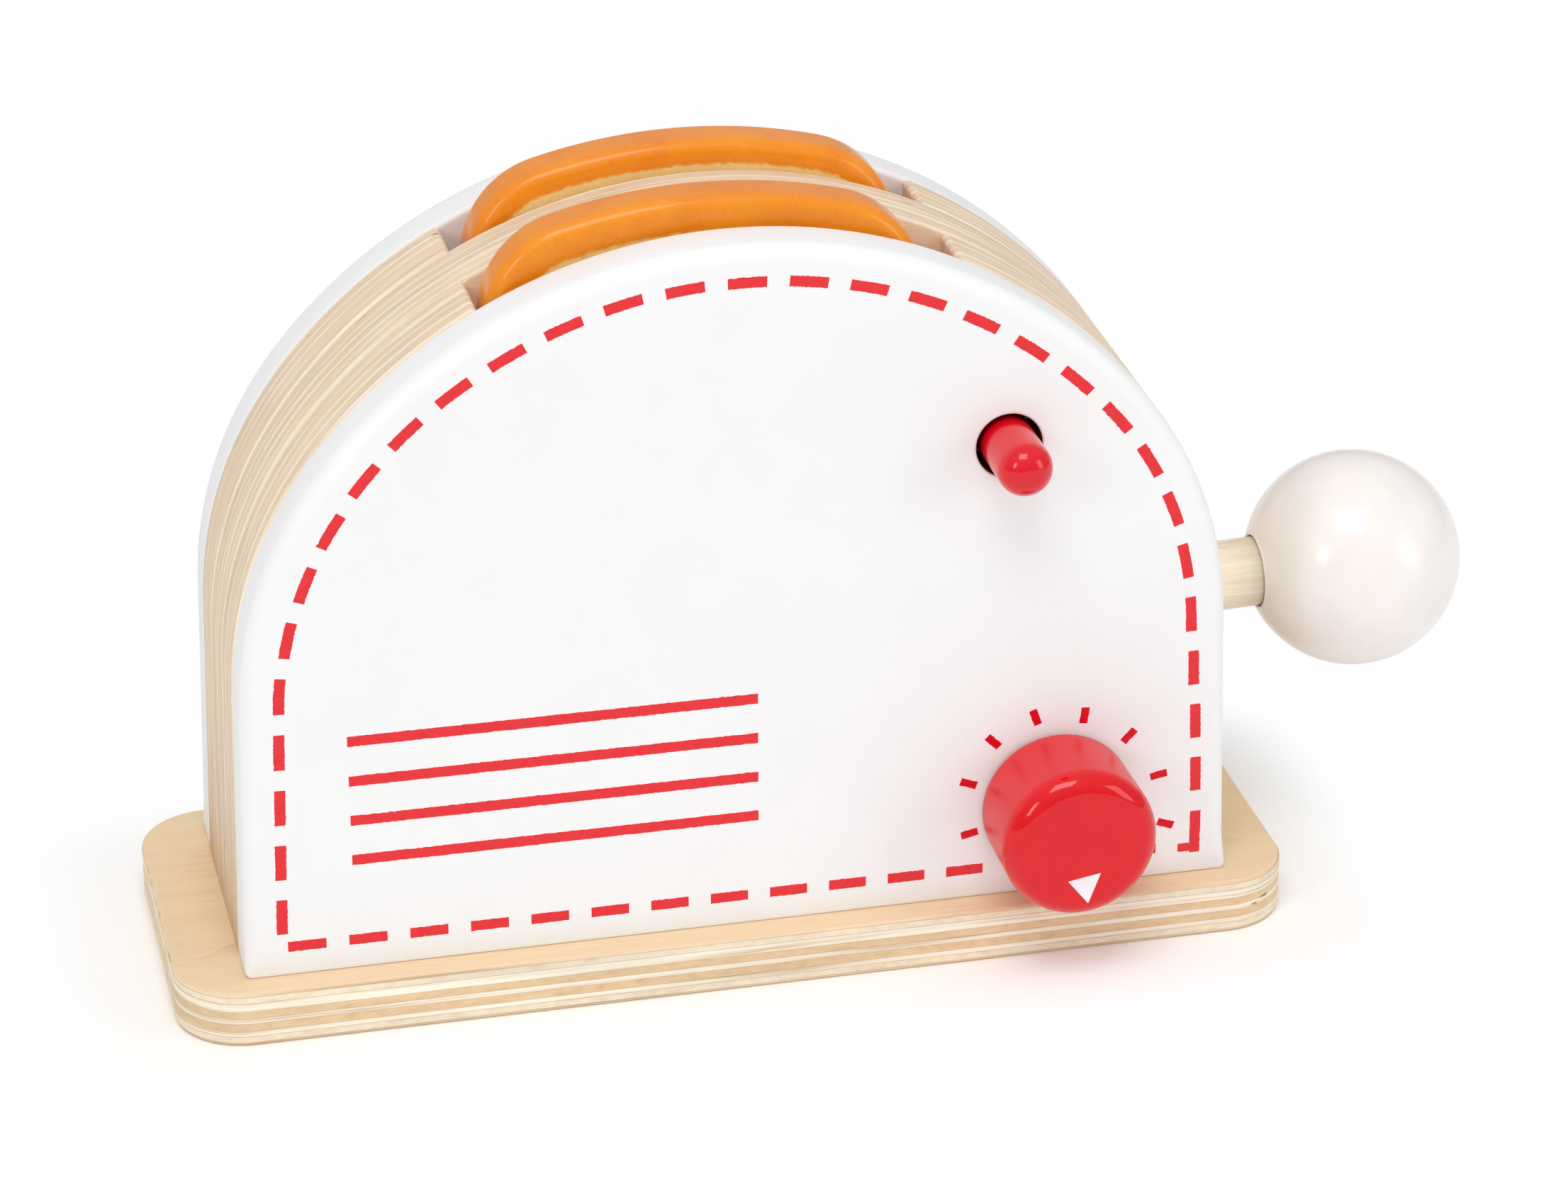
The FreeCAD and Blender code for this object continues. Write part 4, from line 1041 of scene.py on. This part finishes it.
def brushed_steel(name, seed):
    """Zinc plated steel with fine turning marks and small dull patches."""
    made, tree, shader = material(name)
    marks = grain(tree, (3000, 200, 3000), detail=3.0, shift=(seed, 0, 0))
    dull = grain(tree, (500, 500, 500), detail=3.0, shift=(0, seed, 0))
    shade = ramp(tree, dull, [(0.3, rgb(150, 150, 152)), (0.7, rgb(188, 188, 190))])
    rough = spread(tree, dull, 0.28, 0.45)
    feed(tree, shader, {"Base Color": shade, "Roughness": rough, "Metallic": 1.0})
    bump(tree, shader, marks, 0.01 * MM)
    return made


def felt(name):
    """Pressed wool: short tangled fibres and a soft sheen."""
    made, tree, shader = material(name)
    hairs = grain(tree, (2400, 2400, 2400), detail=5.0, distortion=1.5)
    shade = ramp(tree, hairs, [(0.3, rgb(92, 88, 82)), (0.7, rgb(136, 130, 122))])
    feed(tree, shader, {"Base Color": shade, "Roughness": 0.95, "Sheen Weight": 0.4})
    bump(tree, shader, hairs, 0.2 * MM)
    return made


def repaint(node, paint):
    """Swap a CAD solid's plain material for its finished one."""
    nodes[node].data.materials.clear()
    nodes[node].data.materials.append(paint)


for i, node in enumerate(steel_nodes):
    repaint(node, brushed_steel(node + "_steel", i * 0.7))
for i, node in enumerate(beech_nodes):
    colours = (rgb(230, 202, 158), rgb(212, 180, 132))
    repaint(node, clear_beech(node + "_wood", (0, 1, 0), *colours, 0.6, i * 1.1))
repaint("dial_felt_washer", felt("washer_felt"))

# The toy stands on a plain white floor under a broad soft light, and is seen from a
# little to the left and from above, through a long lens.
floor_half = 1.5
fade_start = 2.0 * MM
fade_end = 28.0 * MM


def seen_by_camera(tree):
    """1 for rays that come from the camera, straight or through glass."""
    path = add(tree, "LightPath")
    return maths(
        tree, "MAXIMUM", path.outputs["Is Camera Ray"], path.outputs["Is Transmission Ray"]
    )


floor_mesh = bpy.data.meshes.new("floor")
floor_corners = [
    (x * floor_half, y * floor_half, 0) for x, y in ((-1, -1), (1, -1), (1, 1), (-1, 1))
]
floor_mesh.from_pydata(floor_corners, [], [[0, 1, 2, 3]])
floor = bpy.data.objects.new("floor", floor_mesh)
bpy.context.scene.collection.objects.link(floor)
floor_material, floor_tree, floor_shader = material("floor_paper")
paper = {"Base Color": rgb(252, 252, 252), "Roughness": 0.9, "Specular IOR Level": 0.0}
feed(floor_tree, floor_shader, paper)
floor_spot = add(floor_tree, "TexCoord").outputs["Object"]
floor_axes = add(floor_tree, "SeparateXYZ", {"Vector": floor_spot})
beyond = []
for axis, half in (("X", plate_high.x), ("Y", plate_high.y)):
    away = maths(floor_tree, "ABSOLUTE", floor_axes.outputs[axis])
    beyond.append(maths(floor_tree, "MAXIMUM", maths(floor_tree, "SUBTRACT", away, half), 0.0))
floor_reach = add(floor_tree, "CombineXYZ", {"X": beyond[0], "Y": beyond[1]}).outputs[0]
floor_reach = add(floor_tree, "VectorMath", {0: floor_reach}, operation="LENGTH").outputs["Value"]
floor_fade = add(
    floor_tree, "MapRange", {"Value": floor_reach, "From Min": fade_start, "From Max": fade_end},
    interpolation_type="SMOOTHSTEP",
).outputs[0]
floor_glow = maths(floor_tree, "MULTIPLY", floor_fade, seen_by_camera(floor_tree))
floor_white = add(floor_tree, "Emission", {"Color": (1, 1, 1, 1), "Strength": 1.0})
floor_mix = add(
    floor_tree, "MixShader",
    {0: floor_glow, 1: floor_shader.outputs[0], 2: floor_white.outputs[0]},
)
feed(floor_tree, floor_tree.nodes["Material Output"], {"Surface": floor_mix.outputs[0]})
floor_mesh.materials.append(floor_material)

world = bpy.data.worlds.new("studio")
bpy.context.scene.world = world
world.use_nodes = True
sky = world.node_tree
direction = add(sky, "SeparateXYZ", {"Vector": add(sky, "TexCoord").outputs["Generated"]})
glow = spread(sky, direction.outputs["Z"], 0.37, 0.80)
strength = spread(sky, seen_by_camera(sky), glow, 1.0)
feed(sky, sky.nodes["Background"], {"Color": (1, 1, 1, 1), "Strength": strength})


def soft_light(name, place, aim, size, power):
    """A square soft box that points at a place."""
    lamp = bpy.data.lights.new(name, "AREA")
    lamp.shape = "RECTANGLE"
    lamp.size, lamp.size_y = size
    lamp.energy = power
    lamp_object = bpy.data.objects.new(name, lamp)
    lamp_object.location = place
    way = Vector(aim) - Vector(place)
    lamp_object.rotation_euler = way.to_track_quat("-Z", "Y").to_euler()
    bpy.context.scene.collection.objects.link(lamp_object)


light_aim = (0, 0, 0.07)
soft_light("top_box", (-0.3, -0.9, 1.95), light_aim, (1.1, 0.9), 14.4)
soft_light("left_box", (-0.9, -0.8, 0.6), light_aim, (0.26, 0.45), 2.0)
soft_light("right_box", (0.9, -0.7, 0.4), light_aim, (0.4, 0.6), 1.9)

# The camera stands where the picture's perspective puts it: it looks at the foot of
# the front board, slid sideways and up, and the lens keeps the sensor's width.
view_azimuth = math.radians(-12.9277)
view_elevation = math.radians(25.4305)
view_roll = math.radians(-0.1762)
view_aim = Vector((0.0, panel_low.y, deck))
view_slide = (7.045 * MM, 60.677 * MM, 929.44 * MM)
sensor_width = 36.0
view_lens = sensor_width * 7212.82 / 2212
right = Vector((math.cos(view_azimuth), math.sin(view_azimuth), 0))
back = Vector(
    (
        math.sin(view_azimuth) * math.cos(view_elevation),
        -math.cos(view_azimuth) * math.cos(view_elevation),
        math.sin(view_elevation),
    )
)
up = back.cross(right)
turned_right = right * math.cos(view_roll) + up * math.sin(view_roll)
turned_up = up * math.cos(view_roll) - right * math.sin(view_roll)
camera_data = bpy.data.cameras.new("camera")
camera_data.sensor_width = sensor_width
camera_data.lens = view_lens
camera_data.clip_start = 0.05
camera = bpy.data.objects.new("camera", camera_data)
bpy.context.scene.collection.objects.link(camera)
place = view_aim + turned_right * view_slide[0] + turned_up * view_slide[1] + back * view_slide[2]
turn = np.eye(4)
turn[:3, 0], turn[:3, 1], turn[:3, 2], turn[:3, 3] = turned_right, turned_up, back, place
camera.matrix_world = Matrix(turn.tolist())
bpy.context.scene.camera = camera
bpy.context.scene.view_settings.view_transform = "Standard"
